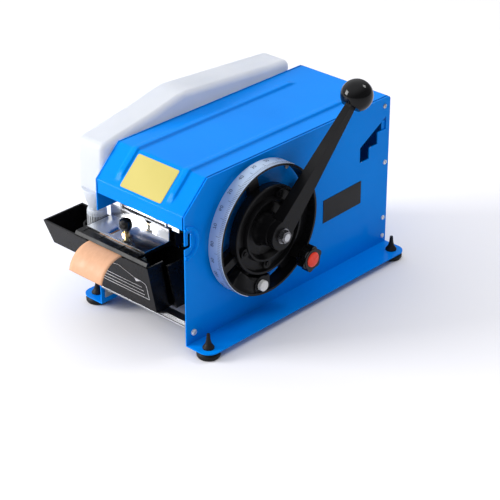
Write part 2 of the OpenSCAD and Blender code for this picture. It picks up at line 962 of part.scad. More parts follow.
// moves children to the dial axis, with X of the drawing along +Y and Y along +Z
module on_dial(x) {
    translate([x, dial_y, dial_z])
        rotate([90, 0, 90])
            children();
}

// ring sector between two angles
module ring_sector(r0, r1, h, a0, a1) {
    far = r1 * 1.6;
    mid = (a0 + a1) / 2;
    linear_extrude(height = h)
        intersection() {
            difference() {
                circle(r1, $fn = fine * 2);
                circle(r0, $fn = fine * 2);
            }
            polygon([
                [0, 0], far * [cos(a0), sin(a0)], far * [cos(mid), sin(mid)], far * [cos(a1), sin(a1)]
            ]);
        }
}

module dial_wheel() {
    spokes = [104, 200];
    color(black)
        difference() {
            union() {
                on_dial(dial_x0)
                    difference() {
                        cylinder(r = dial_r - band_t, h = dial_w, $fn = fine * 2);
                        translate([0, 0, -eps])
                            cylinder(r = rim_ri, h = dial_w + 2 * eps, $fn = fine * 2);
                    }
                on_dial(web_x0)
                    cylinder(r = 60, h = web_t, $fn = fine * 2);
                for (a = spokes)
                    on_dial(web_x0)
                        rotate(a)
                            translate([40, -10, 0])
                                cube([rim_ri - 39, 20, web_t]);
                on_dial(web_x0)
                    ring_sector(55, rim_ri + 1, web_t, stop_a - 20, 26);
                on_dial(web_x0)
                    ring_sector(55, rim_ri + 1, web_t, 217, 276);
                on_dial(web_x0 + 1)
                    ring_sector(76, rim_ri + 1, dial_x1 - web_x0 - 4, 218, 272);
                on_dial(web_x0)
                    translate([button_place_r * cos(button_a), button_place_r * sin(button_a), 0])
                        cylinder(r = button_r + 6, h = dial_x1 - web_x0 - 1, $fn = fine);
            }
            on_dial(dial_x0 - eps)
                cylinder(r = shaft_r + run_c, h = 60, $fn = fine);
            on_dial(web_x1)
                translate([button_place_r * cos(button_a), button_place_r * sin(button_a), 0])
                    cylinder(r = button_r + run_c, h = 60, $fn = fine);
        }
}

// scale strip round the front half of the rim
module scale_band() {
    color(steel)
        on_dial(dial_x0)
            ring_sector(dial_r - band_t + 0.02, dial_r, dial_w, 60, 243);
}

// cast hub with two raised rings, a dished face, fixing lugs and a long central boss
module lever_hub() {
    h = hub_face - hub_x0;
    color(black)
        difference() {
            union() {
                on_dial(hub_x0)
                    rotate_extrude($fn = fine * 2)
                        polygon([
                            [0, 0], [hub_ring_r, 0], [hub_ring_r, h + 4], [hub_ring_r - 1, h + 5],
                            [hub_ring_r - 4, h + 5], [hub_ring_r - 6, h - 1],
                            [hub_inner_r + 2, h - 1], [hub_inner_r, h + 6], [hub_inner_r - 3, h + 6],
                            [hub_inner_r - 8, h - 4], [boss_r + 5, h - 4],
                            [boss_r + 1, h + 4], [boss_r, boss_x1 - hub_x0 - 1],
                            [boss_r - 1, boss_x1 - hub_x0], [0, boss_x1 - hub_x0]
                        ]);
                for (a = [65, 202.5, -93.5])
                    on_dial(hub_x0)
                        rotate(a)
                            translate([hub_ring_r - 15.5, 0, 0])
                                cylinder(r = 8, h = h + 4, $fn = fine);
                on_dial(hub_x0)
                    rotate(202.5)
                        linear_extrude(height = h - 2)
                            bar2d([60, 0], [94, 0], 13);
                for (a = [10, 75, -60])
                    on_dial(hub_x0 + h - 5)
                        rotate(a)
                            translate([boss_r - 3, -2, 0])
                                cube([hub_inner_r - boss_r + 1, 4, 8]);
            }
            on_dial(hub_x0 - eps)
                cylinder(r = shaft_r + run_c, h = 60, $fn = fine);
        }
}

module hub_screws() {
    h = hub_face - hub_x0;
    color(steel)
        for (a = [65, 202.5, -93.5])
            on_dial(hub_x0 + h + 4.05)
                rotate(a)
                    translate([hub_ring_r - 15.5, 0, 0])
                        difference() {
                            cylinder(r = 4, h = 2, $fn = fine);
                            translate([-2.5, -0.5, 1])
                                cube([5, 1, 2]);
                        }
}

// tapered lever, thick at its eye, with a round eye over the hub boss
module lever_arm() {
    tip = lever_l - ball_r * 0.8;
    color(black)
        difference() {
            union() {
                on_dial(boss_x1 + 0.1)
                    cylinder(r = boss_r, h = lever_t, $fn = fine);
                on_dial(boss_x1 + 0.1)
                    rotate(lever_a) {
                        hull() {
                            translate([13, -17, -8])
                                cube([1, 34, lever_t + 8]);
                            translate([75, -13.5, -5])
                                cube([1, 27, lever_t + 6]);
                        }
                        hull() {
                            translate([75, -13.5, -5])
                                cube([1, 27, lever_t + 6]);
                            translate([tip - 1, -6, 2])
                                cube([1, 12, lever_t]);
                        }
                    }
                on_dial(ball_x)
                    rotate(lever_a)
                        translate([tip - 8, 0, 0])
                            rotate([0, 90, 0])
                                cylinder(r = 5, h = 20, $fn = fine);
            }
            on_dial(dial_x1 - 20)
                cylinder(r = shaft_r + run_c, h = 80, $fn = fine);
            on_dial(boss_x1 - 20)
                cylinder(r = boss_r + 0.3, h = 20, $fn = fine);
        }
}

module ball_knob() {
    tip = lever_l - ball_r * 0.8;
    color(black)
        on_dial(ball_x)
            rotate(lever_a)
                difference() {
                    union() {
                        translate([lever_l, 0, 0])
                            sphere(r = ball_r, $fn = fine);
                        translate([lever_l - ball_r - 2, 0, 0])
                            rotate([0, 90, 0])
                                cylinder(r = 9, h = 8, $fn = fine);
                    }
                    translate([0, -60, -60])
                        cube([tip + 0.1, 120, 120]);
                    translate([tip - 9, 0, 0])
                        rotate([0, 90, 0])
                            cylinder(r = 5 + run_c, h = 21.2, $fn = fine);
                }
}

module hub_nut() {
    color(steel) {
        on_dial(eye_x1 - 0.35)
            difference() {
                cylinder(r = 12, h = 1.6, $fn = fine);
                translate([0, 0, -eps])
                    cylinder(r = shaft_r + run_c, h = 4, $fn = fine);
            }
        on_dial(eye_x1 + 1.3)
            difference() {
                cylinder(r = 10, h = 6, $fn = 6);
                translate([0, 0, -eps])
                    cylinder(r = thread_r + run_c, h = 8, $fn = fine);
            }
    }
}

// clamp of the length stop: a jaw inside and one outside the rim, and the knob's stud
module stop_carriage() {
    width = 18;
    low = stop_r - 12;
    high = stop_r + 12;
    color(zinc)
        on_dial(0)
            rotate(stop_a)
                translate([0, -width / 2, 0]) {
                    translate([low, 0, dial_x1 + seat_c])
                        cube([high - low, width, clamp_t]);
                    translate([low, 0, web_x1 + 0.4])
                        cube([rim_ri - 2 - low, width, dial_x1 + seat_c + 1 - web_x1]);
                    translate([dial_r + 0.4, 0, dial_x1 - 8])
                        cube([high - dial_r - 0.4, width, 8 + clamp_t]);
                    translate([stop_r, width / 2, dial_x1 + 1])
                        cylinder(r = 4, h = clamp_t + 12, $fn = fine);
                }
}

module stop_knob() {
    lobes = 6;
    color(black)
        on_dial(stop_knob_x)
            rotate(stop_a)
                translate([stop_r, 0, 0])
                    difference() {
                        union() {
                            cylinder(r = stop_knob_r - 4, h = stop_knob_h, $fn = fine);
                            for (i = [0:lobes - 1])
                                rotate(360 / lobes * i)
                                    translate([stop_knob_r - 6.5, 0, 4])
                                        cylinder(r = 6.5, h = stop_knob_h - 5, $fn = fine);
                        }
                        translate([0, 0, -eps])
                            cylinder(r = 4 + run_c, h = 13, $fn = fine);
                        translate([0, 0, stop_knob_h - 3])
                            cylinder(r = 12 + run_c, h = 10, $fn = fine);
                    }
}

module stop_cap() {
    color("#d8321f")
        on_dial(stop_knob_x + stop_knob_h - 2.95)
            rotate(stop_a)
                translate([stop_r, 0, 0])
                    rotate_extrude($fn = fine)
                        polygon([[0, 0], [12, 0], [12, 4], [10.5, 5.2], [6, 6.2], [0, 6.5]]);
}

module white_button() {
    base = web_x1 + 0.3 + button_travel;
    color("#f4f4f0")
        on_dial(base)
            translate([button_place_r * cos(button_a), button_place_r * sin(button_a), 0])
                rotate_extrude($fn = fine) {
                    h = dial_x1 - base + 2 + button_travel;
                    polygon([
                        [0, 0], [button_r - 0.02, 0], [button_r - 0.02, h - 1.5],
                        [button_r - 1.5, h], [0, h]
                    ]);
                }
}

// ---------------------------------------------------------------- feed rollers

module feed_shaft() {
    color(steel) {
        rod(feed_shaft_r, -half_w - 3, gear_x0 + gear_w + 4, feed_y, feed_z);
        rod(feed_shaft_r + 2, -half_w - 5, -half_w - 2.9, feed_y, feed_z);
    }
}

module feed_roller() {
    grooves = 4;
    x0 = tape_x - roller_l / 2;
    color(rubber_black)
        difference() {
            rod(feed_r, x0, x0 + roller_l, feed_y, feed_z);
            for (i = [1:grooves])
                difference() {
                    rod(feed_r + eps, x0 + roller_l * i / (grooves + 1) - 1.5,
                        x0 + roller_l * i / (grooves + 1) + 1.5, feed_y, feed_z);
                    rod(feed_r - 2, x0, x0 + roller_l, feed_y, feed_z);
                }
            rod(feed_shaft_r + run_c, x0 - eps, x0 + roller_l + eps, feed_y, feed_z);
        }
}

module feed_pinion() {
    color(brass)
        difference() {
            union() {
                translate([gear_x0 - 1, feed_y, feed_z])
                    rotate([90, 0, 90])
                        rotate(mesh_a + 180 + 180 / pinion_n)
                            linear_extrude(height = gear_w + 2)
                                gear2d(pinion_n, gear_m, 0.25);
                rod(9, gear_x0 - 8, gear_x0, feed_y, feed_z);
            }
            rod(feed_shaft_r + run_c, gear_x0 - 10, gear_x0 + gear_w + 10, feed_y, feed_z);
        }
}

module pressure_roller() {
    x0 = tape_x - roller_l / 2;
    color(zinc) {
        rod(press_r, x0, x0 + roller_l, feed_y, press_z);
        rod(press_shaft_r, -half_w - 3, mech_x + mech_t + 4, feed_y, press_z);
    }
}

// ---------------------------------------------------------------- tape roll

module tape_roll() {
    color(kraft)
        difference() {
            rod(roll_r, tape_x0, tape_x0 + tape_w, roll_y, roll_z);
            rod(core_r + 3, tape_x0 - eps, tape_x0 + tape_w + eps, roll_y, roll_z);
        }
}

module roll_core() {
    color("#b9a88f")
        difference() {
            rod(core_r + 2.98, tape_x0, tape_x0 + tape_w, roll_y, roll_z);
            rod(core_r, tape_x0 - eps, tape_x0 + tape_w + eps, roll_y, roll_z);
        }
}

module cradle_rods() {
    color(steel)
        for (s = [-1, 1]) {
            y = roll_y + s * cradle_span;
            rod(cradle_rod_r, -inner_x + 0.02, inner_x - 0.02, y, cradle_z);
            rod(screw_r, -half_w - 0.2, -inner_x + 1, y, cradle_z);
            rod(head_r, -half_w - head_h, -half_w - 0.05, y, cradle_z);
        }
}

module cradle_roller(s) {
    x0 = tape_x0 + 1;
    x1 = tape_x0 + tape_w - 1;
    color("#3a3d42")
        difference() {
            rod(cradle_r, x0, x1, roll_y + s * cradle_span, cradle_z);
            rod(cradle_rod_r + run_c, x0 - eps, x1 + eps, roll_y + s * cradle_span, cradle_z);
        }
}

module front_cradle_roller() {
    cradle_roller(-1);
}

module rear_cradle_roller() {
    cradle_roller(1);
}

// outline of a side guide for the roll, with an open notch over the core
module guide_outline() {
    difference() {
        union() {
            translate([roll_y, roll_z])
                circle(48, $fn = fine * 2);
            polygon([
                [roll_y - cradle_span - 12, cradle_z - 10], [roll_y + cradle_span + 12, cradle_z - 10],
                [roll_y + 46, roll_z + 5], [roll_y - 46, roll_z + 5]
            ]);
        }
        translate([roll_y, roll_z])
            circle(core_r, $fn = fine);
        translate([roll_y - core_r, roll_z])
            square([2 * core_r, 60]);
    }
}

module roll_guide(x0) {
    t = 3;
    difference() {
        union() {
            side(x0, x0 + t)
                guide_outline();
            for (s = [-1, 1])
                rod(8, x0, x0 + t + 3, roll_y + s * cradle_span, cradle_z);
        }
        for (s = [-1, 1])
            rod(cradle_rod_r + run_c, x0 - eps, x0 + t + 5, roll_y + s * cradle_span, cradle_z);
    }
}

module roll_guide_left() {
    color(black)
        translate([tape_x0 - 1, 0, 0])
            mirror([1, 0, 0])
                roll_guide(0);
}

module roll_guide_right() {
    color(black)
        difference() {
            roll_guide(guide_x - 2);
            translate([guide_x + 2.5, roll_y - cradle_span, cradle_z - 12])
                cylinder(r = 1.5 + run_c, h = 8, $fn = fine);
        }
}

module guide_thumbscrew() {
    color(zinc)
        translate([guide_x + 2.5, roll_y - cradle_span, cradle_z - 18]) {
            cylinder(r = 1.5, h = 18 - cradle_rod_r - 0.1, $fn = fine);
            cylinder(r = 6, h = 6, $fn = 8);
        }
}

// ---------------------------------------------------------------- cover

// outer line of the cover from the front lip to the rear lip
function cover_line(d) = [
    [0 + d, lip_z], [0 + d, slope_z - d * 0.42], [slope_y + d * 0.42, housing_h - d],
    [housing_l - 1 - d, housing_h - d], [housing_l - 1 - d, rear_top + 5]
];

module cover_shell2d(depth) {
    outer = cover_line(0.2);
    inner = cover_line(0.2 + depth);
    n = len(outer);
    polygon(concat(outer, [for (i = [n - 1:-1:0]) inner[i]]));
}

module bead2d(h) {
    a = (housing_h - slope_z) / slope_len;
    b = slope_y / slope_len;
    s0 = 8;
    polygon([
        [s0 * b + 0.5, slope_z + s0 * a - 0.3], [s0 * b - a * h, slope_z + s0 * a + b * h],
        [slope_y - a * h * 0.45, housing_h + h], [394 - h, housing_h + h], [394, housing_h - 0.5],
        [slope_y + 1, housing_h - 0.5]
    ]);
}

module top_cover() {
    w = inner_x - cover_gap;
    color(blue)
        difference() {
            union() {
                side(-w, w)
                    cover_shell2d(sheet_t);
                for (s = [-1, 1])
                    side(s > 0 ? w - sheet_t : -w, s > 0 ? w : -w + sheet_t)
                        cover_shell2d(20);
                box([-w, 0.2, lip_z], [w, 8, lip_z + sheet_t]);
                for (s = [-1, 1]) {
                    side(s * bead_x - bead_w / 2, s * bead_x + bead_w / 2)
                        bead2d(bead_h / 2);
                    side(s * bead_x - bead_w / 2 + 2, s * bead_x + bead_w / 2 - 2)
                        bead2d(bead_h);
                }
            }
            rod(pin_r + run_c, -half_w, half_w, hinge_y, hinge_z);
        }
}

// ---------------------------------------------------------------- water tank

// tapered block between a rectangle at z0 and one at z1; rectangles are [x0, y0, x1, y1]
module taper(low, z0, high, z1) {
    hull() {
        translate([low[0], low[1], z0])
            cube([low[2] - low[0], low[3] - low[1], 0.01]);
        translate([high[0], high[1], z1 - 0.01])
            cube([high[2] - high[0], high[3] - high[1], 0.01]);
    }
}

module water_tank() {
    w = tank_wall;
    lean_top = -tank_lean;
    color(black)
        difference() {
            union() {
                taper([deep_left, tank_front, tank_right - side_flare, tank_step + 2], tank_z,
                    [deep_left - 4, lean_top, tank_right, 3], rim_z);
                taper([deep_left, tank_step, tank_right - 3, tank_rear], tank_z,
                    [deep_left - 4, 3, tank_right + 9, tank_rear], body_top);
                taper([tank_left + wing_flare, wing_front, deep_left + 5, wing_rear - 3], wing_z,
                    [tank_left, lean_top, deep_left + 5, wing_rear], rim_z);
            }
            difference() {
                union() {
                    taper([deep_left + w, tank_front + w, tank_right - side_flare - w, tank_step + 2],
                        tank_z + w, [deep_left - 4 + w, lean_top + w, tank_right - w, 3],
                        rim_z + 0.02);
                    taper([deep_left + w, tank_step - 6, tank_right - 3 - w, tank_rear - w],
                        tank_z + w, [deep_left - 4 + w, 0, tank_right + 9 - w, tank_rear - w],
                        body_top + 0.02);
                    taper([tank_left + wing_flare + w, wing_front + w, deep_left + 7,
                            wing_rear - 3 - w], wing_z + w,
                        [tank_left + w, lean_top + w, deep_left + 7, wing_rear - w],
                        rim_z + 0.02);
                }
                translate([cap_x, cap_y, wing_z])
                    difference() {
                        cylinder(r = collar_r, h = 33, $fn = fine);
                        translate([0, 0, w])
                            cylinder(r = collar_r - 2.5, h = 40, $fn = fine);
                        translate([-4, -40, w])
                            cube([8, 80, 8]);
                    }
            }
            box([-half_w - 1, 42.5, body_top], [deep_left + 7, wing_rear + 5, rim_z + 5]);
            box([tape_x - tape_w / 2 - 5, lean_top - 5, rim_z - 1.2],
                [tape_x + tape_w / 2 + 5, lean_top + w + 5, rim_z + 5]);
        }
}

// frame over the tank's mouth: a front bar over the tape, side bars and three ribs
module tape_frame() {
    x0 = plate_x0 - 4;
    x1 = tank_right - 2;
    y0 = -tank_lean;
    inner0 = plate_x0 + 6;
    inner1 = plate_x0 + plate_w - 6;
    web_z = tape_z + tape_t / 2 + seat_c;
    color(black) {
        side(x0, x1)
            polygon([[y0, frame_z], [y0 + 7, frame_z], [y0 + 7, frame_top], [y0 + 3, frame_top]]);
        box([x0, y0 + 6, frame_z], [inner0, wing_rear - 8, frame_top]);
        box([inner1, y0 + 6, frame_z], [inner1 + 6, wing_rear - 8, frame_top]);
        box([inner0 - 0.5, y0 + 6, web_z], [inner1 + 0.5, plate_y0 - 0.8, web_z + 0.7]);
        for (x = [tape_x - 22, tape_x + 22])
            box([x - 1, y0 + 6, web_z], [x + 1, plate_y0 - 0.8, frame_top]);
        box([x0, y0 + 0.6, rim_z + 0.05], [tape_x - tape_w / 2 - 6, y0 + 2.4, frame_z + 0.6]);
        box([tape_x + tape_w / 2 + 6, y0 + 0.6, rim_z + 0.05], [x1, y0 + 2.4, frame_z + 0.6]);
    }
}

// two brushes; every bristle is a square strand on its backing
module wet_brushes() {
    bw = tape_w + 4;
    depth = 10;
    s = 0.7;
    z0 = brush_z;
    color("#c9b48a") {
        for (y = [-14, 8]) {
            box([tape_x - bw / 2, y, z0 - 8], [tape_x + bw / 2, y + depth, z0]);
            for (x = [tape_x - bw / 2, tape_x + bw / 2 - 6])
                box([x, y + 1, z0 - 8.1], [x + 6, y + depth - 1, z0 - 7.9]);
            for (i = [0:bristle_cols - 1])
                for (j = [0:bristle_rows - 1])
                    translate([
                        tape_x - bw / 2 + 2 + (bw - 4 - s) * i / (bristle_cols - 1),
                        y + 1.2 + (depth - 2.4 - s) * j / (bristle_rows - 1), z0 - 0.5
                    ])
                        cube([s, s, bristle_l + 0.5]);
        }
        for (x = [tape_x - bw / 2 + 3, tape_x + bw / 2 - 9])
            box([x, 3.5, tank_z + tank_wall + 0.3], [x + 6, 12, z0 - 4]);
        for (x = [tape_x - bw / 2 + 3, tape_x + bw / 2 - 9])
            box([x, -12, z0 - 14], [x + 6, 12, z0 - 7.8]);
    }
}

function curl_line() = concat(
    [[shear_y - blade_t - 0.6, tape_z], [-15, tape_z], [-tank_lean + 7.5, rim_z + 1.1],
        [-tank_lean + 3, rim_z + 0.85], [-tank_lean - 2, rim_z + 0.8]],
    [for (i = [1:8]) let (a = curl_a * i / 8)
        [-tank_lean - 2 - curl_r * sin(a), rim_z + 0.8 - curl_r + curl_r * cos(a)]]
);

module dispensed_tape() {
    color(kraft)
        side(tape_x0, tape_x0 + tape_w)
            ribbon2d(curl_line(), tape_t);
}

// ---------------------------------------------------------------- pressure plate

// horizontal leg of the plate with the bend and the start of the upright
module plate_fold(r) {
    y1 = plate_y0 + plate_d;
    side(plate_x0, plate_x0 + plate_w)
        difference() {
            union() {
                translate([plate_y0, plate_z])
                    square([plate_d - r, plate_t]);
                translate([y1 - plate_t, plate_z + r])
                    square([plate_t, plate_up]);
                translate([y1 - r, plate_z + r])
                    intersection() {
                        circle(r, $fn = fine);
                        translate([0, -r])
                            square(r);
                    }
            }
            translate([y1 - r, plate_z + r])
                circle(r - plate_t, $fn = fine);
        }
}

module pressure_plate() {
    color(steel)
        difference() {
            plate_fold(2);
            translate([tape_x, knob_y, plate_z - eps])
                cylinder(r = 3 + run_c, h = 6, $fn = fine);
            translate([0, 0, plate_z - eps])
                linear_extrude(height = plate_t + 2 * eps)
                    bar2d([tape_x - 17, plate_y0 + 7], [tape_x - 17, plate_y0 + 23], 3.5);
        }
}
module plate_knob() {
    h = plate_knob_r;
    translate([tape_x, knob_y, plate_z + plate_t + 0.05]) {
        color(brass) {
            cylinder(r = 6, h = 3, $fn = 6);
            cylinder(r = 3.5, h = 8, $fn = fine);
            translate([0, 0, -plate_t - 1])
                cylinder(r = 3, h = plate_t + 2, $fn = fine);
        }
        color(black)
            translate([0, 0, 7.5])
                rotate_extrude($fn = fine)
                    polygon([
                        [0, 0], [h * 0.7, 0], [h * 0.85, h * 0.3], [h, h * 0.6],
                        [h, h * 1.2], [h * 0.88, h * 1.6], [h * 0.6, h * 1.78], [0, h * 1.8]
                    ]);
    }
}

// ---------------------------------------------------------------- bottle

function shelf_height(y) =
    bottle_base - seat_c + bottle_slope * (y - 60) / (bottle_end - 60);

module bottle2d(inset) {
    offset(delta = -inset)
        polygon([
            [bottle_front, bottle_base + 4], [bottle_front + 2, bottle_top - 33],
            [130, bottle_top - 14], [192, bottle_top], [bottle_end, bottle_top - 18],
            [bottle_end, bottle_base + bottle_slope], [60, bottle_base]
        ]);
}

// one skin of the bottle, drawn in by the given distance
module bottle_skin(inset) {
    edge = 9;
    hull() {
        side(bottle_x0 + inset, bottle_x1 - inset)
            bottle2d(edge);
        side(bottle_x0 + edge, bottle_x1 - edge)
            bottle2d(inset);
    }
    hull() {
        translate([cap_x, cap_y + 4, bottle_base + 6])
            cylinder(r = 24 - inset, h = 1, $fn = 32);
        translate([cap_x, cap_y, cap_z + 4])
            cylinder(r = neck_r - inset, h = 1, $fn = 32);
    }
}

// hollow blow-moulded bottle lying along the left side, neck down at its front end
module water_bottle() {
    color(milky)
        difference() {
            union() {
                bottle_skin(0);
                translate([cap_x, cap_y, cap_z - 10])
                    cylinder(r = neck_r, h = 15, $fn = fine);
            }
            bottle_skin(bottle_wall);
            translate([cap_x, cap_y, cap_z - 10 - eps])
                cylinder(r = neck_r - bottle_wall, h = 20, $fn = fine);
        }
}

// ribbed cap with the feed hole in its end
module bottle_cap() {
    color("#dfe5e8")
        translate([cap_x, cap_y, cap_z - cap_h])
            difference() {
                union() {
                    cylinder(r = cap_r - 0.8, h = cap_h, $fn = fine);
                    for (i = [0:cap_ribs - 1])
                        rotate(360 / cap_ribs * i)
                            translate([cap_r - 1.2, -0.7, 0])
                                cube([1.2, 1.4, cap_h - 2]);
                }
                translate([0, 0, cap_h - 10.1])
                    cylinder(r = neck_r + run_c, h = 20, $fn = fine);
                translate([0, 0, 3])
                    cylinder(r = neck_r - 3, h = cap_h, $fn = fine);
                translate([0, 0, -eps])
                    cylinder(r = 4, h = 6, $fn = fine);
            }
}

// folded shelf on the left side panel that carries the bottle
module bottle_shelf() {
    y0 = 90;
    y1 = 400;
    x0 = bottle_x0 + 6;
    h0 = shelf_height(y0) - 0.01;
    h1 = shelf_height(y1) - 0.01;
    color(blue)
        difference() {
            union() {
                side(x0, -half_w)
                    polygon([[y0, h0 - sheet_t], [y1, h1 - sheet_t], [y1, h1], [y0, h0]]);
                side(-half_w - sheet_t, -half_w)
                    polygon([[y0, h0 - 18], [y1, h1 - 18], [y1, h1], [y0, h0]]);
            }
            for (y = [150, 330])
                rod(screw_r + hole_c, -half_w - 10, -half_w + 1, y, shelf_height(y) - 8);
        }
    color(steel)
        for (y = [150, 330]) {
            rod(screw_r, -half_w - sheet_t - 0.2, -inner_x + 3, y, shelf_height(y) - 8);
            rod(head_r, -half_w - sheet_t - 2, -half_w - sheet_t - 0.05, y, shelf_height(y) - 8);
        }
}

place() right_side_panel();
place() left_side_panel();
place() rear_panel();
place() front_bar();
place() mechanism_plate();
place() tie_rods();
place() rubber_feet();
place() panel_screws();
place() front_bolts();
place() nameplate();
place() shaft_bushes();
place() roller_bushes();
place() tape_guide();
place() deflector_rod();
place() blade_bed();
place() fixed_blade();
place() guide_rods();
place() cutter_bridge();
place() rocker_pin();
place() cradle_rods();
place() roll_guide_left();
place() bottle_shelf();
place() hinge_pins();
place() threaded_tape();
place() main_shaft();
place() dial_wheel();
place() scale_band();
place() lever_hub();
place() lever_arm();
place() ball_knob();
place() hub_nut();
place() hub_screws();
place() drive_gear();
place() cut_cam();
place() stop_carriage();
place() stop_knob();
place() stop_cap();
place() white_button();
place() feed_shaft();
place() feed_roller();
place() feed_pinion();
place() pressure_roller();
place() moving_blade();
place() blade_springs();
place() cut_rocker();
place() tape_roll();
place() roll_core();
place() front_cradle_roller();
place() rear_cradle_roller();
place() roll_guide_right();
place() guide_thumbscrew();
place() top_cover();
place() water_tank();
place() tape_frame();
place() wet_brushes();
place() dispensed_tape();
place() pressure_plate();
place() plate_knob();
place() water_bottle();
place() bottle_cap();
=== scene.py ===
import json
import math

import bmesh
import bpy
from mathutils import Matrix, Vector

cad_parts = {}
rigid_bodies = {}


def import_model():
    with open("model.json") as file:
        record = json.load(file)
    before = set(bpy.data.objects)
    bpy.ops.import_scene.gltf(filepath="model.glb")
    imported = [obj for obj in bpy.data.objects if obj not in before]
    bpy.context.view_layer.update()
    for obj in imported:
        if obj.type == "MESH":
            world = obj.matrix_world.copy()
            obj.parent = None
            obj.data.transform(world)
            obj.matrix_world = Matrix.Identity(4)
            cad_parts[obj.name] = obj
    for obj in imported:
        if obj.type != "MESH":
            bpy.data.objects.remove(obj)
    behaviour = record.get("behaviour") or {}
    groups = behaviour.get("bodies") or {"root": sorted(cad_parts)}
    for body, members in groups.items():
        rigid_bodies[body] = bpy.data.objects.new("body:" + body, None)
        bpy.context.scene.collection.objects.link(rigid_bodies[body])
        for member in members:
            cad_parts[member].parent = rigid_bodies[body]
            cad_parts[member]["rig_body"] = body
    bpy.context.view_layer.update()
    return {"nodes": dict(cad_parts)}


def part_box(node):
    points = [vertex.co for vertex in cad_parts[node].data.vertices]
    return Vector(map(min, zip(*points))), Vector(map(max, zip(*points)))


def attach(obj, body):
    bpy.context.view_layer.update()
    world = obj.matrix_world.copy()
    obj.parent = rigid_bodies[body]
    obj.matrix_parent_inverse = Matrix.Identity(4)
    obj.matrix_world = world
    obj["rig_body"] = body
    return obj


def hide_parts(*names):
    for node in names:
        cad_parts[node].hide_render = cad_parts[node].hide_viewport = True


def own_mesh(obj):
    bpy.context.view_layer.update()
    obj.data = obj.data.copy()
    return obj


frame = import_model()
node = frame["nodes"]

# ------------------------------------------------------------------ studio
# A pale table top under even studio light, and the camera where the photographer stood: off the lever
# side's front corner, looking down at the machine through a long lens.

scene = bpy.context.scene
scene.view_settings.view_transform = "Standard"


def shown(name, data):
    """A new object in the scene from its mesh, curve, light or camera."""
    piece = bpy.data.objects.new(name, data)
    scene.collection.objects.link(piece)
    return piece


def fed(made, inputs):
    """Gives inputs of a node, by name or number, another node's output or a constant."""
    for label, source in dict(inputs).items():
        if isinstance(source, bpy.types.NodeSocket):
            made.id_data.links.new(source, made.inputs[label])
        else:
            made.inputs[label].default_value = source
    return made


def added(tree, kind, inputs=(), **settings):
    """A new node of a tree with its settings and inputs."""
    made = tree.nodes.new(kind)
    for key, value in settings.items():
        setattr(made, key, value)
    return fed(made, inputs)


def new_finish(name):
    """A new material, its node tree and its Principled shader."""
    finish = bpy.data.materials.new(name)
    finish.use_nodes = True
    tree = finish.node_tree
    return finish, tree, tree.nodes["Principled BSDF"]


camera_data = bpy.data.cameras.new("camera")
camera_data.lens = 130.9
camera_data.sensor_width = 36.0
camera_data.clip_end = 60.0
camera = shown("camera", camera_data)
camera.location = (1.74675, -1.80371, 1.411)
look_down, look_round = 28.24, 43.33
camera.rotation_euler = (math.radians(90 - look_down), 0, math.radians(look_round))
scene.camera = camera

sky = bpy.data.worlds.new("sky")
sky.use_nodes = True
sky_tree = sky.node_tree
toward = added(sky_tree, "ShaderNodeTexCoord")
bright_side = added(sky_tree, "ShaderNodeVectorMath", {
    0: toward.outputs["Generated"], 1: (-0.42, -0.12, 0.90),
}, operation="DOT_PRODUCT")
fade = added(sky_tree, "ShaderNodeMapRange", {
    "Value": bright_side.outputs["Value"], "From Min": 0.05, "From Max": 0.95, "To Min": 0.24,
    "To Max": 1.25,
}, interpolation_type="SMOOTHSTEP")
seen = added(sky_tree, "ShaderNodeLightPath")
sky_level = added(sky_tree, "ShaderNodeMix", {
    0: seen.outputs["Is Camera Ray"], 2: fade.outputs["Result"], 3: 0.93,
})
fed(sky_tree.nodes["Background"], {"Color": (0.95, 0.965, 1.0, 1), "Strength": sky_level.outputs[0]})
scene.world = sky


def soft_box(name, place, aim, size, power):
    """A square studio light that points at a spot on the machine."""
    lamp = bpy.data.lights.new(name, "AREA")
    lamp.shape = "RECTANGLE"
    lamp.size, lamp.size_y = size
    lamp.energy = power
    holder = shown(name, lamp)
    holder.location = place
    look = Vector(aim) - Vector(place)
    holder.rotation_euler = look.to_track_quat("-Z", "Y").to_euler()


soft_box("key_light", (-2.0, -2.2, 1.25), (0, 0, 0.15), (1.3, 1.3), 90)
soft_box("rear_light", (0.83, 1.43, 2.0), (0, 0, 0.2), (0.6, 0.6), 12)

table_mesh = bpy.data.meshes.new("table_top")
table_mesh.from_pydata([(-30, -30, 0), (30, -30, 0), (30, 30, 0), (-30, 30, 0)], [], [(0, 1, 2, 3)])
table_white, _, table_shader = new_finish("table_white")
fed(table_shader, {"Base Color": (0.885, 0.872, 0.89, 1), "Roughness": 0.7, "Specular IOR Level": 0.1})
table_mesh.materials.append(table_white)
shown("table_top", table_mesh)

# ------------------------------------------------------------------ housing panels
# Two folded side panels with outward foot flanges, the rear panel and the bottle shelf: about 2 mm sheet
# steel, pressed, folded and powder coated in a glossy light blue. The right panel has a ring pressed up
# round its hook slot, which stiffens the front edge there.


def grain(tree, scale, detail=3.0, stretch=(1, 1, 1), rough=0.5):
    """Noise on Object coordinates, stretched along the piece's axes."""
    where = added(tree, "ShaderNodeTexCoord")
    turn = added(tree, "ShaderNodeMapping", {"Vector": where.outputs["Object"], "Scale": stretch})
    return added(tree, "ShaderNodeTexNoise", {
        "Vector": turn.outputs["Vector"], "Scale": scale, "Detail": detail, "Roughness": rough,
    })


def spread(noise, low, high):
    """Maps the middle of a noise to a range of values."""
    return added(noise.id_data, "ShaderNodeMapRange", {
        "Value": noise.outputs["Fac"], "From Min": 0.3, "From Max": 0.7, "To Min": low, "To Max": high,
    }).outputs["Result"]


def two_tone(noise, dark, light):
    """Blends two colours by the middle of a noise."""
    ramp = added(noise.id_data, "ShaderNodeValToRGB", {"Fac": noise.outputs["Fac"]})
    for stop, place, colour in zip(ramp.color_ramp.elements, (0.3, 0.7), (dark, light)):
        stop.position = place
        stop.color = (*colour, 1)
    return ramp.outputs["Color"]


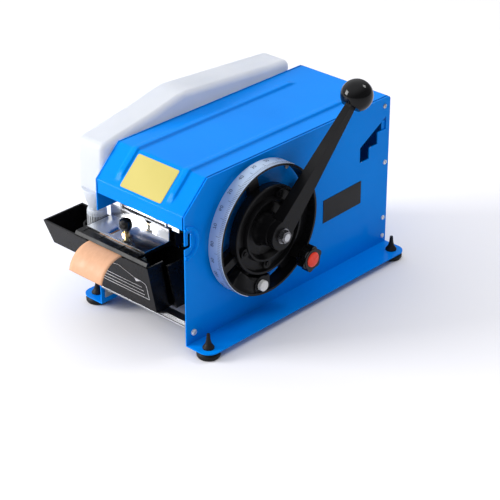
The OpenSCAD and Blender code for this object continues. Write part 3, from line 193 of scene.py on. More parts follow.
def relief(noise, height, strength=0.5):
    """Fine surface relief from a noise, with its depth in metres."""
    return added(noise.id_data, "ShaderNodeBump", {
        "Height": noise.outputs["Fac"], "Distance": height, "Strength": strength,
    }).outputs["Normal"]


def coated(name, dark, light, rough, peel=0.00006, shine=0.25):
    """Sprayed or powder-coated finish with slight orange peel and uneven gloss."""
    finish, tree, shader = new_finish(name)
    fed(shader, {
        "Base Color": two_tone(grain(tree, 7, 4), dark, light),
        "Roughness": spread(grain(tree, 40, 4), *rough),
        "Normal": relief(grain(tree, 420, 2), peel),
        "Specular IOR Level": shine,
    })
    return finish


def dress(name, finish):
    """Puts a finish on a CAD node that stays as it is."""
    data = node[name].data
    data.materials.clear()
    data.materials.append(finish)
    data.set_sharp_from_angle(angle=math.radians(32))


def set_on(piece, body):
    """The piece rides on a body."""
    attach(piece, body)


def baked(name, holder):
    """Plain mesh object from an object with live modifiers, which is then removed."""
    graph = bpy.context.evaluated_depsgraph_get()
    mesh = bpy.data.meshes.new_from_object(holder.evaluated_get(graph))
    bpy.data.objects.remove(holder)
    return shown(name, mesh)


def formed(name, form, finish, mesh=None):
    """Mesh object with one finish from a form, in a new mesh unless one is given."""
    mesh = mesh or bpy.data.meshes.new(name)
    form.to_mesh(mesh)
    form.free()
    mesh.materials.clear()
    mesh.materials.append(finish)
    return shown(name, mesh)


def smoothed(mesh, limit):
    """Shades a mesh smooth and keeps the edges sharp that turn more than a limit in degrees."""
    mesh.polygons.foreach_set("use_smooth", [True] * len(mesh.polygons))
    mesh.set_sharp_from_angle(angle=math.radians(limit))


def rounded(holder, width, steps, limit):
    """Rounds the edges that turn more than a limit in degrees."""
    edge = holder.modifiers.new("edge", "BEVEL")
    edge.width = width
    edge.segments = steps
    edge.limit_method = "ANGLE"
    edge.angle_limit = math.radians(limit)


def levelled(holder):
    """Lets the large faces lead the shading, so that flat ones look flat."""
    level = holder.modifiers.new("level", "WEIGHTED_NORMAL")
    level.keep_sharp = True


def eased(name, radius, finish, steps=2, limit=30):
    """Copy of a CAD node with its folds and corners rounded, in the node's place."""
    mesh = node[name].data.copy()
    form = bmesh.new()
    form.from_mesh(mesh)
    bmesh.ops.remove_doubles(form, verts=form.verts, dist=2e-6)
    bmesh.ops.dissolve_limit(form, angle_limit=math.radians(0.8), verts=form.verts, edges=form.edges)
    holder = formed(name + "_raw", form, finish, mesh)
    smoothed(mesh, limit)
    rounded(holder, radius, steps, limit)
    levelled(holder)
    piece = baked(name + "_form", holder)
    set_on(piece, node[name]["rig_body"])
    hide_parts(name)


blue_coat = coated("blue_powder_coat", (0.0, 0.212, 0.76), (0.0, 0.240, 0.83), (0.15, 0.22),
                   peel=0.00003, shine=0.045)
eased("right_side_panel", 0.0005, blue_coat)
eased("left_side_panel", 0.0005, blue_coat)
eased("rear_panel", 0.0006, blue_coat)
dress("bottle_shelf", blue_coat)

panel_low, panel_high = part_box("right_side_panel")
flange_reach = 0.1405


def machine(x, y, z):
    """A point in millimetres: x from 0.5 left of mid-width, y from the front edge, z from the flange."""
    return Vector((panel_high.x - flange_reach + x / 1000, panel_low.y + y / 1000, panel_low.z + z / 1000))


def linked(name, form, finish, limit=42):
    """Turns a closed form into a smooth mesh object with its faces outwards."""
    bmesh.ops.recalc_face_normals(form, faces=form.faces)
    piece = formed(name, form, finish)
    smoothed(piece.data, limit)
    return piece


def skin(form, rows, closed=False):
    """Joins rows of corners by four-sided faces; closed also joins each row's ends."""
    for a, b in zip(rows, rows[1:]):
        for k in range(len(a) - (0 if closed else 1)):
            form.faces.new((a[k], a[(k + 1) % len(a)], b[(k + 1) % len(a)], b[k]))


def tube(form, rows):
    """A closed body through rows of points, capped at both ends."""
    rings = [[form.verts.new(p) for p in row] for row in rows]
    skin(form, rings, closed=True)
    for end in (rings[0], rings[-1]):
        form.faces.new(end)


panel_face = 94
ring_y, ring_z = 2, 171
ring_start, ring_sweep = -86, 176
ring_middle, ring_half, ring_sunk, ring_rise = 24.2, 3.8, 0.8, 5
ring_rows = []
for step in range(49):
    a = math.radians(ring_start + ring_sweep * step / 48)
    row = []
    for k in range(13):
        b = math.pi * k / 12
        r = ring_middle - ring_half * math.cos(b)
        row.append(machine(panel_face - ring_sunk + ring_rise * math.sin(b), ring_y + r * math.cos(a),
                           ring_z + r * math.sin(a)))
    ring_rows.append(row)
ring_form = bmesh.new()
tube(ring_form, ring_rows)
set_on(linked("pressed_ring", ring_form, blue_coat), "housing")

# ------------------------------------------------------------------ top cover
# One steel sheet folded over the sloping front and the top, with two beads pressed up along it that
# stiffen it and a flange down each side that carries the hinge. Same blue coat as the housing.


def folded(corners, radii, steps=8):
    """A line through (y, z) corners with its folds rounded."""
    line = [Vector(corners[0])]
    for i, radius in enumerate(radii, 1):
        corner = Vector(corners[i])
        back = (Vector(corners[i - 1]) - corner).normalized()
        ahead = (Vector(corners[i + 1]) - corner).normalized()
        half = back.angle(ahead) / 2
        middle = corner + (back + ahead).normalized() * radius / math.sin(half)
        start = corner + back * radius / math.tan(half) - middle
        end = corner + ahead * radius / math.tan(half) - middle
        turn = math.pi - 2 * half
        for k in range(steps + 1):
            share = turn * k / steps
            line.append(middle + (start * math.sin(turn - share) + end * math.sin(share)) / math.sin(turn))
    line.append(Vector(corners[-1]))
    return line


def divided(line, step):
    """The same line with no stretch longer than a step."""
    fine = [line[0]]
    for a, b in zip(line, line[1:]):
        parts = max(1, math.ceil((b - a).length / step))
        fine += [a.lerp(b, k / parts) for k in range(1, parts + 1)]
    return fine


def eased_step(value):
    """Smooth rise from 0 to 1."""
    value = min(max(value, 0), 1)
    return value * value * (3 - 2 * value)


cover_half = 90.7
cover_gauge = 1.5
bead_middle, bead_half, bead_ramp, bead_rise, bead_fade = 54, 7.5, 3.2, 3.2, 15
cover_line = divided(folded([(8, 191.2), (0.2, 191.2), (0.2, 213.9), (48.1, 259.8), (457.8, 259.8),
                             (457.8, 225)], [1.6, 3.2, 5, 3]), 5)
length_at = [0]
for a, b in zip(cover_line, cover_line[1:]):
    length_at.append(length_at[-1] + (b - a).length)
bead_from = next(d for d, p in zip(length_at, cover_line) if p.y > 200 and p.x > 5)
bead_to = next(d for d, p in zip(length_at, cover_line) if p.x > 392)
offsets = [bead_half + 3] + [bead_half - bead_ramp * k / 4 for k in range(5)] + [1.5]
across = sorted({-cover_half, 0, cover_half}
                | {side * bead_middle + turn * offset for side in (-1, 1) for turn in (-1, 1)
                   for offset in offsets})
shell = bmesh.new()
outer_rows, inner_rows = [], []
for i, point in enumerate(cover_line):
    before, after = cover_line[max(i - 1, 0)], cover_line[min(i + 1, len(cover_line) - 1)]
    run = (after - before).normalized()
    out = Vector((-run.y, run.x))
    ends = min(eased_step((length_at[i] - bead_from) / bead_fade),
               eased_step((bead_to - length_at[i]) / bead_fade))
    lifts = [eased_step((bead_half - abs(abs(x) - bead_middle)) / bead_ramp) * ends * bead_rise
             for x in across]
    for rows, sunk in ((outer_rows, 0), (inner_rows, cover_gauge)):
        rows.append([shell.verts.new(machine(x, *(point + out * (lift - sunk))))
                     for x, lift in zip(across, lifts)])
skin(shell, outer_rows)
skin(shell, [row[::-1] for row in inner_rows])
for end in (0, -1):
    skin(shell, [outer_rows[end], inner_rows[end]])
    skin(shell, [[row[end] for row in outer_rows], [row[end] for row in inner_rows]])
flange_inner = [(20.2, 191.2), (20.2, 205.5), (56.5, 239.8), (437.8, 239.8), (437.8, 225)]
flange_outline = [tuple(p) for p in cover_line if p.y > 191.2 and (p.x < 1 or p.y > 225.1 or p.x < 60)]
flange_outline += [(457.6, 225)] + flange_inner[::-1]
for side in (-1, 1):
    tube(shell, [[machine(side * x, y, z) for y, z in flange_outline]
                 for x in (cover_half - 0.1, cover_half - cover_gauge)])
top_sheet = linked("top_sheet", shell, blue_coat)
set_on(top_sheet, "cover")
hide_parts("top_cover")

# ------------------------------------------------------------------ yellow plate
# A thin plate of yellow plastic with rounded corners, stuck on the middle of the cover's slope and left
# without any wording.

yellow_foil = coated("yellow_foil", (0.50, 0.42, 0.10), (0.57, 0.48, 0.135), (0.35, 0.5), peel=0.00002)
foil_radius, foil_gauge, foil_lift = 0.003, 0.0005, 0.00015
slope_rise = Vector((0, 48, 46)).normalized()
slope_out = Vector((0, -slope_rise.z, slope_rise.y))
foil_left, foil_right, foil_foot, foil_head = -44, 42, 5, 61
foil_corners = [machine(x, 0.2, 213.8) + slope_rise * s / 1000 + slope_out * foil_lift
                for x, s in ((foil_left, foil_foot), (foil_right, foil_foot), (foil_right, foil_head),
                             (foil_left, foil_head))]
foil_outline = []
for i, corner in enumerate(foil_corners):
    before = (foil_corners[i - 1] - corner).normalized()
    after = (foil_corners[(i + 1) % 4] - corner).normalized()
    for k in range(7):
        a = k / 6 * math.pi / 2
        foil_outline.append(corner + (before * (1 - math.sin(a)) + after * (1 - math.cos(a))) * foil_radius)
foil_form = bmesh.new()
tube(foil_form, [foil_outline, [p + slope_out * foil_gauge for p in foil_outline]])
bmesh.ops.recalc_face_normals(foil_form, faces=foil_form.faces)
set_on(formed("yellow_plate", foil_form, yellow_foil), "cover")

# ------------------------------------------------------------------ name plate
# A thin foil plate in satin black, stuck on the lever side behind the dial. It is left bare, since its
# wording isn't part of the machine.

black_foil = coated("black_foil", (0.004, 0.004, 0.005), (0.008, 0.008, 0.009), (0.3, 0.42),
                    peel=0.00002, shine=0.2)
dress("nameplate", black_foil)

# ------------------------------------------------------------------ front bar
# An extruded aluminium bar with grooves along it, bolted across the front between the side panels. The
# water tank stands on it.


def metal(name, dark, light, rough, stretch, scale=260, scratch=0.00001, metallic=1.0):
    """Bare or plated metal with drawn or ground marks along one axis."""
    finish, tree, shader = new_finish(name)
    marks = grain(tree, scale, 3, stretch)
    fed(shader, {
        "Metallic": metallic,
        "Base Color": two_tone(grain(tree, 22, 4), dark, light),
        "Roughness": spread(marks, *rough),
        "Normal": relief(marks, scratch, 0.4),
    })
    return finish


bar_metal = metal("extruded_aluminium", (0.36, 0.37, 0.39), (0.44, 0.45, 0.47), (0.26, 0.4),
                  (0.03, 1, 1))
eased("front_bar", 0.0003, bar_metal)

# ------------------------------------------------------------------ fasteners
# Bright panel screws and front bolts: turned and rolled steel. Three small bright dots at the corners of the
# right panel's stepped slot are painted highlights, and two dark screw heads just under the panel's face are
# also painted shade for the dark insides of their holes. The pins, rods, shafts and small working parts
# inside are zinc plated, a little uneven in colour.

mark_depth = 1


def round_marks(name, places, radius, height, finish):
    """Low round dots at (y, z) places in the right panel, measured from a level under its face."""
    heads = bmesh.new()
    for y, z in places:
        rows = []
        for away, size in ((-0.5, 1), (height * 0.6, 1), (height, 0.75)):
            turns = [math.tau * k / 20 for k in range(20)]
            rows.append([machine(panel_face - mark_depth + away, y + radius * size * math.cos(a),
                                 z + radius * size * math.sin(a)) for a in turns])
        tube(heads, rows)
    set_on(linked(name, heads, finish), "housing")


bright_steel_and_glint = metal("bright_steel_and_glint", (0.74, 0.76, 0.79), (0.84, 0.86, 0.88), (0.2, 0.3), (1, 1, 1),
                   metallic=0.45)
for name in ("panel_screws", "front_bolts"):
    dress(name, bright_steel_and_glint)
# Painted highlights: three small bright steel dots at the corners of the right panel's stepped slot.
round_marks("painted_glint_dots", ((437.8, 201.6), (414.1, 183.6), (393, 164.7)), 1.7, 0.9, bright_steel_and_glint)
# Two dark screw heads sunk just under the right panel's face, dark enough to also be painted shade for the
# insides of their holes.
dark_steel_and_hole_shade = metal("dark_steel_and_hole_shade", (0.05, 0.05, 0.055), (0.08, 0.08, 0.085), (0.3, 0.45), (1, 1, 1))
round_marks("dark_screws_and_hole_shade", ((12, 213), (420.3, 57)), 2.4, 0.7, dark_steel_and_hole_shade)
zinc_plate = metal("zinc_plate", (0.42, 0.43, 0.45), (0.54, 0.55, 0.57), (0.24, 0.4), (1, 1, 1), 500)
for name in ("hinge_pins", "tie_rods", "cradle_rods", "rocker_pin", "guide_thumbscrew", "deflector_rod",
             "main_shaft", "feed_shaft", "tape_guide", "cut_rocker", "cut_cam"):
    dress(name, zinc_plate)

# ------------------------------------------------------------------ feet
# Moulded black rubber feet: a pad under the flange, and a tapered tail pulled up through its hole, which
# holds the foot without a screw.


def moulded(name, dark, light, rough, texture=0.00003, shine=0.3, clear=0.0):
    """Moulded plastic or rubber with a fine skin and slight cloudiness."""
    finish, tree, shader = new_finish(name)
    fed(shader, {
        "Base Color": two_tone(grain(tree, 18, 4), dark, light),
        "Roughness": spread(grain(tree, 60, 4), *rough),
        "Normal": relief(grain(tree, 900, 2), texture),
        "Specular IOR Level": shine,
        "Transmission Weight": clear,
    })
    return finish


foot_rubber = moulded("foot_rubber", (0.005, 0.005, 0.005), (0.012, 0.012, 0.012), (0.45, 0.65),
                      shine=0.2)
dress("rubber_feet", foot_rubber)

# ------------------------------------------------------------------ dial wheel
# A moulded black wheel: a deep rim round a web with windows, bolted behind the lever hub so that the two
# turn together.

dial_black = moulded("dial_black", (0.003, 0.003, 0.004), (0.007, 0.007, 0.008), (0.34, 0.48), shine=0.18)
eased("dial_wheel", 0.0008, dial_black, limit=40)

# ------------------------------------------------------------------ scale strip
# A satin silver strip bent round the front half of the rim, with printed ticks and plain numbers for the
# length of tape.

scale_silver = metal("scale_silver", (0.38, 0.49, 0.66), (0.52, 0.61, 0.76), (0.3, 0.42), (1, 0.2, 0.2),
                     metallic=0.45)
dress("scale_band", scale_silver)

ink = moulded("scale_ink", (0.01, 0.02, 0.05), (0.02, 0.03, 0.07), (0.5, 0.6), texture=0.00001)
strip_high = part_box("scale_band")[1]
wheel_low, wheel_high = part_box("dial_wheel")
dial_centre = (wheel_low + wheel_high) / 2
strip_radius = strip_high.z - dial_centre.z
strip_end = 0.03
scale_first = math.radians(60) + strip_end
scale_sweep = math.radians(243 - 60) - 2 * strip_end


def new_tree(name, inputs):
    """A geometry tree with named inputs: the tree, their outputs inside it and their sockets."""
    tree = bpy.data.node_groups.new(name, "GeometryNodeTree")
    face = tree.interface
    face.new_socket("Geometry", in_out="INPUT", socket_type="NodeSocketGeometry")
    sockets = {label: face.new_socket(label, in_out="INPUT", socket_type="NodeSocket" + kind)
               for label, kind in inputs.items()}
    face.new_socket("Geometry", in_out="OUTPUT", socket_type="NodeSocketGeometry")
    return tree, added(tree, "NodeGroupInput").outputs, sockets


def end_tree(tree, given, copies):
    """Ends a geometry tree with real copies in their finish."""
    real = added(tree, "GeometryNodeRealizeInstances", {"Geometry": copies.outputs["Instances"]})
    paint = added(tree, "GeometryNodeSetMaterial", {
        "Geometry": real.outputs["Geometry"], "Material": given["Finish"],
    })
    added(tree, "NodeGroupOutput", {"Geometry": paint.outputs["Geometry"]})


def maths(tree, operation, *values):
    """The result of one sum in a node tree."""
    return added(tree, "ShaderNodeMath", dict(enumerate(values)), operation=operation).outputs[0]


def bars_tree():
    """Straight bars round a rim about the X axis, every tenth one long, as one mesh."""
    tree, given, sockets = new_tree("rim_bars", {
        "Count": "Int", "First": "Float", "Sweep": "Float", "Radius": "Float", "Length": "Float",
        "Long": "Float", "Depth": "Float", "Width": "Float", "Finish": "Material",
    })
    index = added(tree, "GeometryNodeInputIndex").outputs[0]
    share = maths(tree, "DIVIDE", index, given["Count"])
    turn = maths(tree, "MULTIPLY_ADD", share, given["Sweep"], given["First"])
    place = added(tree, "ShaderNodeCombineXYZ", {
        "Y": maths(tree, "MULTIPLY", maths(tree, "COSINE", turn), given["Radius"]),
        "Z": maths(tree, "MULTIPLY", maths(tree, "SINE", turn), given["Radius"]),
    })
    line = added(tree, "GeometryNodeMeshLine", {"Count": given["Count"], "Offset": (0, 0, 0)}, mode="OFFSET")
    spots = added(tree, "GeometryNodeSetPosition", {
        "Geometry": line.outputs["Mesh"], "Position": place.outputs[0],
    })
    is_long = maths(tree, "LESS_THAN", maths(tree, "MODULO", index, 10), 0.5)
    length = added(tree, "ShaderNodeMix", {0: is_long, 2: given["Length"], 3: given["Long"]})
    section = added(tree, "ShaderNodeCombineXYZ", {"X": 1, "Y": given["Depth"], "Z": given["Width"]})
    bar = added(tree, "GeometryNodeMeshCube", {"Size": section.outputs[0]})
    hung = added(tree, "GeometryNodeTransform", {
        "Geometry": bar.outputs["Mesh"], "Translation": (-0.5, 0, 0),
    })
    lean = added(tree, "ShaderNodeCombineXYZ", {"X": turn})
    size = added(tree, "ShaderNodeCombineXYZ", {"X": length.outputs[0], "Y": 1, "Z": 1})
    copies = added(tree, "GeometryNodeInstanceOnPoints", {
        "Points": spots.outputs["Geometry"], "Instance": hung.outputs["Geometry"],
        "Rotation": lean.outputs[0], "Scale": size.outputs[0],
    })
    end_tree(tree, given, copies)
    return tree, sockets


def grown(name, tree, sockets, values, place):
    """Runs a geometry tree with its inputs and moves the plain result to its place."""
    holder = shown(name + "_raw", bpy.data.meshes.new(name + "_raw"))
    run = holder.modifiers.new("run", "NODES")
    run.node_group = tree
    for label, value in values.items():
        run[sockets[label].identifier] = value
    piece = baked(name, holder)
    piece.data.transform(place)
    return piece


def gathered(form, piece):
    """Moves a piece's mesh into a form and removes the piece."""
    form.from_mesh(piece.data)
    bpy.data.objects.remove(piece)


rim_bars = bars_tree()
ticks = grown("scale_ticks", *rim_bars, {
    "Count": 120, "First": scale_first, "Sweep": scale_sweep, "Radius": strip_radius + 0.00006,
    "Length": 0.0065, "Long": 0.012, "Depth": 0.00012, "Width": 0.0005, "Finish": ink,
}, Matrix.Translation((strip_high.x - 0.0006, dial_centre.y, dial_centre.z)))
set_on(ticks, "drive")

number_count = 12
number_centre = Vector((strip_high.x - 0.0185, dial_centre.y, dial_centre.z))
number_form = bmesh.new()
for i in range(number_count):
    text = bpy.data.curves.new("digit", "FONT")
    text.body = str(10 * (i + 1))
    text.size = 0.0088
    text.align_x, text.align_y = "CENTER", "CENTER"
    text.resolution_u = 2
    text.extrude = 0.00003
    number = baked("digit_form", shown("digit_raw", text))
    a = scale_first + scale_sweep * (i + 0.5) / number_count
    out = Vector((0, math.cos(a), math.sin(a)))
    back = Vector((0, math.sin(a), -math.cos(a)))
    turn = Matrix((back, (1, 0, 0), out)).transposed().to_4x4()
    turn.translation = number_centre + out * (strip_radius + 0.00005)
    number.data.transform(turn)
    gathered(number_form, number)
set_on(formed("scale_numbers", number_form, ink), "drive")

# ------------------------------------------------------------------ lever hub, lever and ball
# A cast hub with raised rings and a dished face carries the lever arm, a tapered forging, all in satin
# black paint. The ball is turned black phenolic with a high polish.

cast_black = coated("cast_black", (0.003, 0.003, 0.0035), (0.007, 0.007, 0.0075), (0.26, 0.4),
                    peel=0.00009, shine=0.13)
eased("lever_hub", 0.0010, cast_black, steps=3, limit=36)
eased("lever_arm", 0.0022, cast_black, steps=4)
dress("hub_screws", cast_black)
blued_steel = metal("blued_steel", (0.13, 0.13, 0.14), (0.20, 0.20, 0.21), (0.2, 0.32), (1, 1, 1), 500)
dress("hub_nut", blued_steel)

phenolic = moulded("polished_phenolic", (0.002, 0.002, 0.0022), (0.004, 0.004, 0.0044), (0.05, 0.1),
                   texture=0.000004, shine=0.22)
dress("ball_knob", phenolic)

# ------------------------------------------------------------------ length stop
# A black clamp that slides along the rim and sets the length of tape. A lobed knob with a red cap pressed
# into it tightens the clamp.

stop_black = coated("clamp_black", (0.003, 0.003, 0.0035), (0.008, 0.008, 0.009), (0.3, 0.45), shine=0.2)
eased("stop_carriage", 0.0006, stop_black)
knob_black = moulded("knob_black", (0.003, 0.003, 0.003), (0.007, 0.007, 0.007), (0.18, 0.3))
eased("stop_knob", 0.0012, knob_black, steps=3)
cap_red = moulded("cap_red", (0.84, 0.05, 0.025), (0.93, 0.075, 0.04), (0.22, 0.34), texture=0.00001)
dress("stop_cap", cap_red)

# ------------------------------------------------------------------ white button
# A push button of moulded white plastic in the black block at the bottom of the dial. It slides straight
# into the block.

button_white = moulded("button_white", (0.70, 0.70, 0.69), (0.77, 0.77, 0.76), (0.22, 0.36),
                       texture=0.00001)
dress("white_button", button_white)

# ------------------------------------------------------------------ drive and feed
# A steel drive gear on the main shaft, a brass pinion, flanged brass bushes and the grooved rubber roller
# that feeds the tape over a steel one. The roll lies on grey rollers between black side guides.

turned_steel = metal("turned_steel", (0.26, 0.26, 0.28), (0.36, 0.36, 0.38), (0.26, 0.42), (0.2, 1, 1))
for name in ("drive_gear", "pressure_roller"):
    dress(name, turned_steel)
turned_brass = metal("turned_brass", (0.66, 0.47, 0.18), (0.78, 0.58, 0.26), (0.22, 0.36), (0.2, 1, 1))
for name in ("feed_pinion", "shaft_bushes", "roller_bushes"):
    dress(name, turned_brass)
roller_rubber = moulded("roller_rubber", (0.016, 0.016, 0.016), (0.034, 0.034, 0.034), (0.55, 0.75),
                        texture=0.00006)
dress("feed_roller", roller_rubber)
roller_grey = moulded("roller_grey", (0.10, 0.105, 0.115), (0.14, 0.145, 0.155), (0.4, 0.55))
for name in ("front_cradle_roller", "rear_cradle_roller"):
    dress(name, roller_grey)
guide_black = moulded("guide_black", (0.005, 0.005, 0.0055), (0.011, 0.011, 0.012), (0.4, 0.55), shine=0.2)
for name in ("roll_guide_left", "roll_guide_right"):
    dress(name, guide_black)

# ------------------------------------------------------------------ cutter
# Ground steel blades between steel bars painted black. The moving blade rides on two guide rods, and two
# wound springs press it back.

blade_steel = metal("ground_steel", (0.32, 0.33, 0.35), (0.44, 0.45, 0.47), (0.16, 0.3), (0.04, 1, 1), 700)
for name in ("fixed_blade", "moving_blade", "guide_rods"):
    dress(name, blade_steel)
bar_black_and_backing_shade = coated("bar_black_and_backing_shade", (0.004, 0.004, 0.0045), (0.009, 0.009, 0.010), (0.35, 0.5), shine=0.2)
# The mechanism plate takes the same black, which also serves as painted shade for the dark inside behind the
# pressure plate.
for name in ("blade_bed", "cutter_bridge", "mechanism_plate"):
    dress(name, bar_black_and_backing_shade)


def wound_spring(foot, radius, wire, turns, height):
    """A compression spring of round steel wire standing on its foot, as a closed tube."""
    curve = bpy.data.curves.new("coil", "CURVE")
    curve.dimensions = "3D"
    curve.bevel_depth = wire / 2
    curve.bevel_resolution = 3
    curve.use_fill_caps = True
    path = curve.splines.new("POLY")
    count = turns * 24
    path.points.add(count)
    for i in range(count + 1):
        a = math.tau * i / 24
        z = wire / 2 + (height - wire) * i / count
        path.points[i].co = (*(foot + Vector((radius * math.cos(a), radius * math.sin(a), z))), 1)
    curve.materials.append(blade_steel)
    return baked("coil", shown("coil_raw", curve))


spring_low, spring_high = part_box("blade_springs")
spring_wire, spring_turns, blade_travel = 0.0012, 5, 0.0075
spring_reach = (spring_high.y - spring_low.y) / 2
spring_height = spring_high.z - spring_low.z
spring_form = bmesh.new()
for x in (spring_low.x + spring_reach, spring_high.x - spring_reach):
    foot = Vector((x, (spring_low.y + spring_high.y) / 2, spring_low.z))
    gathered(spring_form, wound_spring(foot, spring_reach - spring_wire / 2, spring_wire, spring_turns,
                                       spring_height))
return_springs = formed("return_springs", spring_form, blade_steel)
set_on(return_springs, "housing")
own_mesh(return_springs)
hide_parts("blade_springs")

# ------------------------------------------------------------------ gummed tape
# Brown kraft paper tape on a board core. It runs from the roll under the deflector rod, between the
# rollers and over the fixed blade; a cut piece lies over the brushes and curls out of the front.

kraft, kraft_tree, kraft_shader = new_finish("kraft_paper")
fed(kraft_shader, {
    "Base Color": two_tone(grain(kraft_tree, 180, 5, (1, 0.5, 0.5), 0.6), (0.60, 0.325, 0.185),
                           (0.655, 0.36, 0.213)),
    "Roughness": spread(grain(kraft_tree, 80, 4), 0.42, 0.62),
    "Normal": relief(grain(kraft_tree, 900, 4), 0.00002),
    "Specular IOR Level": 0.3,
})


def thickened(name, holder, thickness):
    """The baked piece that an open sheet becomes with its thickness laid to both sides."""
    solid = holder.modifiers.new("solid", "SOLIDIFY")
    solid.thickness = thickness
    solid.offset = 0
    return baked(name, holder)


def strip(name, line, low_x, high_x, cup=0.0):
    """A paper strip along a line of (y, z) points, slightly cupped across its width."""
    across = 13
    form = bmesh.new()
    rows = []
    for i, point in enumerate(line):
        before, after = line[max(i - 1, 0)], line[min(i + 1, len(line) - 1)]
        d = (after - before).normalized()
        out = Vector((0, -d.z, d.y))
        rows.append([
            form.verts.new(Vector((low_x + (high_x - low_x) * k / (across - 1), point.y, point.z))
                           + out * cup * (2 * k / (across - 1) - 1) ** 2 * i / len(line))
            for k in range(across)
        ])
    skin(form, rows)
    return thickened(name, linked(name + "_raw", form, kraft, 180), tape_gauge)


tape_gauge = 0.0003
tape_level = 130.1
tape_back, tape_lip = 44.5, -15
curl_y, curl_z, curl_radius = -32, 85.8, 40
cut_low, cut_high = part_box("dispensed_tape")
tape_line = [machine(0, tape_back + (tape_lip - tape_back) * i / 10, tape_level) for i in range(11)]
tape_line += [machine(0, tape_lip - 7.5 * i / 6, tape_level - 4 * eased_step(i / 6)) for i in range(1, 7)]
tape_line += [machine(0, -27, 125.85), machine(0, curl_y, curl_z + curl_radius)]
for i in range(1, 33):
    a = math.radians(80) * i / 32
    tape_line.append(machine(0, curl_y - curl_radius * math.sin(a), curl_z + curl_radius * math.cos(a)))
cut_tape = strip("cut_tape", tape_line, cut_low.x, cut_high.x, cup=0.0006)
set_on(cut_tape, "tank")
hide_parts("dispensed_tape")

thread_low, thread_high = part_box("threaded_tape")
roll_low, roll_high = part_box("tape_roll")
roll_centre = (roll_low + roll_high) / 2
roll_radius = (roll_high.z - roll_low.z) / 2 + 0.0005
bend = machine(0, 104, tape_level)
reach = math.hypot(roll_centre.y - bend.y, roll_centre.z - bend.z)
slope = math.asin(roll_radius / reach) + math.atan2(roll_centre.z - bend.z, roll_centre.y - bend.y)
thread_line = [machine(0, 48.8 + 51.2 * i / 12, tape_level) for i in range(13)]
rod_reach = 0.0053
rod_centre = bend + Vector((0, -rod_reach * math.tan(slope / 2), rod_reach))
for i in range(1, 17):
    a = slope * i / 16
    thread_line.append(rod_centre + Vector((0, rod_reach * math.sin(a), -rod_reach * math.cos(a))))
last = roll_centre + Vector((0, -math.sin(slope), math.cos(slope))) * roll_radius
start = thread_line[-1]
thread_line += [start.lerp(last, i / 20) for i in range(1, 21)]
thread = strip("threaded_strip", thread_line, thread_low.x, thread_high.x)
set_on(thread, "housing")
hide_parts("threaded_tape")

wound, wound_tree, wound_shader = new_finish("wound_paper")
where = added(wound_tree, "ShaderNodeTexCoord")
from_core = added(wound_tree, "ShaderNodeMapping", {
    "Vector": where.outputs["Object"], "Location": (0, -roll_centre.y, -roll_centre.z),
})
flat = added(wound_tree, "ShaderNodeVectorMath", {0: from_core.outputs["Vector"], 1: (0, 1, 1)},
             operation="MULTIPLY")
radial = added(wound_tree, "ShaderNodeVectorMath", {0: flat.outputs["Vector"]}, operation="LENGTH")
layers = added(wound_tree, "ShaderNodeTexNoise", {"W": radial.outputs["Value"], "Scale": 1400, "Detail": 2},
               noise_dimensions="1D")
fed(wound_shader, {
    "Base Color": two_tone(layers, (0.42, 0.25, 0.13), (0.66, 0.43, 0.25)),
    "Roughness": 0.7,
    "Normal": relief(layers, 0.0001),
})
dress("tape_roll", wound)
core_board = moulded("core_board", (0.40, 0.33, 0.25), (0.52, 0.44, 0.34), (0.7, 0.85), texture=0.0001)
dress("roll_core", core_board)

# ------------------------------------------------------------------ water tank
# One glossy black moulding: a deep middle that stands on the front bar and a shallow reservoir for the
# bottle on the left. A separate moulded frame lies over its mouth, and white lines are printed in front.

tank_black = moulded("tank_black", (0.003, 0.003, 0.0033), (0.006, 0.006, 0.0065), (0.2, 0.3),
                     texture=0.00001, shine=0.1)
eased("water_tank", 0.0009, tank_black, steps=3)
eased("tape_frame", 0.0005, tank_black)

white_ink = moulded("white_ink", (0.72, 0.72, 0.74), (0.82, 0.82, 0.84), (0.45, 0.6), texture=0.00001)
tank_lean = 30 / 92
tank_foot = 33
tank_out = Vector((0, -1, -tank_lean)).normalized()
ink_lift, line_width = 0.00025, 0.00075
ruled = bmesh.new()


def on_tank(x, z):
    """A point just in front of the tank's leaning front wall."""
    return machine(x, -tank_lean * (z - tank_foot), z) + tank_out * ink_lift


def rule(x0, z0, x1, z1):
    """One printed line on the tank's front."""
    a, b = on_tank(x0, z0), on_tank(x1, z1)
    side = (b - a).normalized().cross(tank_out) * line_width / 2
    ruled.faces.new([ruled.verts.new(p) for p in (a - side, b - side, b + side, a + side)])


for low_x, high_x, z in ((-60, 16.5, 77.5), (-67, 18, 70.5), (-73, 17.5, 62.8), (-78, 25, 56.5)):
    rule(low_x, z, high_x, z)
border = [(-38, 101.5), (-24.4, 104.5), (6.7, 92), (19.5, 91), (26.7, 88.6), (29, 85), (25, 56.5)]
for start, end in zip(border, border[1:]):
    rule(*start, *end)
ruled.faces.new([ruled.verts.new(on_tank(x, z)) for x, z in ((6, 92.5), (7.5, 85.5), (19.5, 91))])
bmesh.ops.recalc_face_normals(ruled, faces=ruled.faces)
ruled_lines = thickened("ruled_lines", formed("ruled_raw", ruled, white_ink), 0.0002)
set_on(ruled_lines, "tank")

# ------------------------------------------------------------------ wetting brushes
# Two rows of pale fibre tufts in backs of the same colour, joined by two cross pieces on feet. They stand
# in the water and wet the gum from below.

fibre, fibre_tree, fibre_shader = new_finish("brush_fibre")
fed(fibre_shader, {
    "Base Color": two_tone(grain(fibre_tree, 900, 2, (1, 1, 0.1)), (0.62, 0.52, 0.33), (0.82, 0.74, 0.52)),
    "Roughness": spread(grain(fibre_tree, 300, 2), 0.45, 0.65),
})


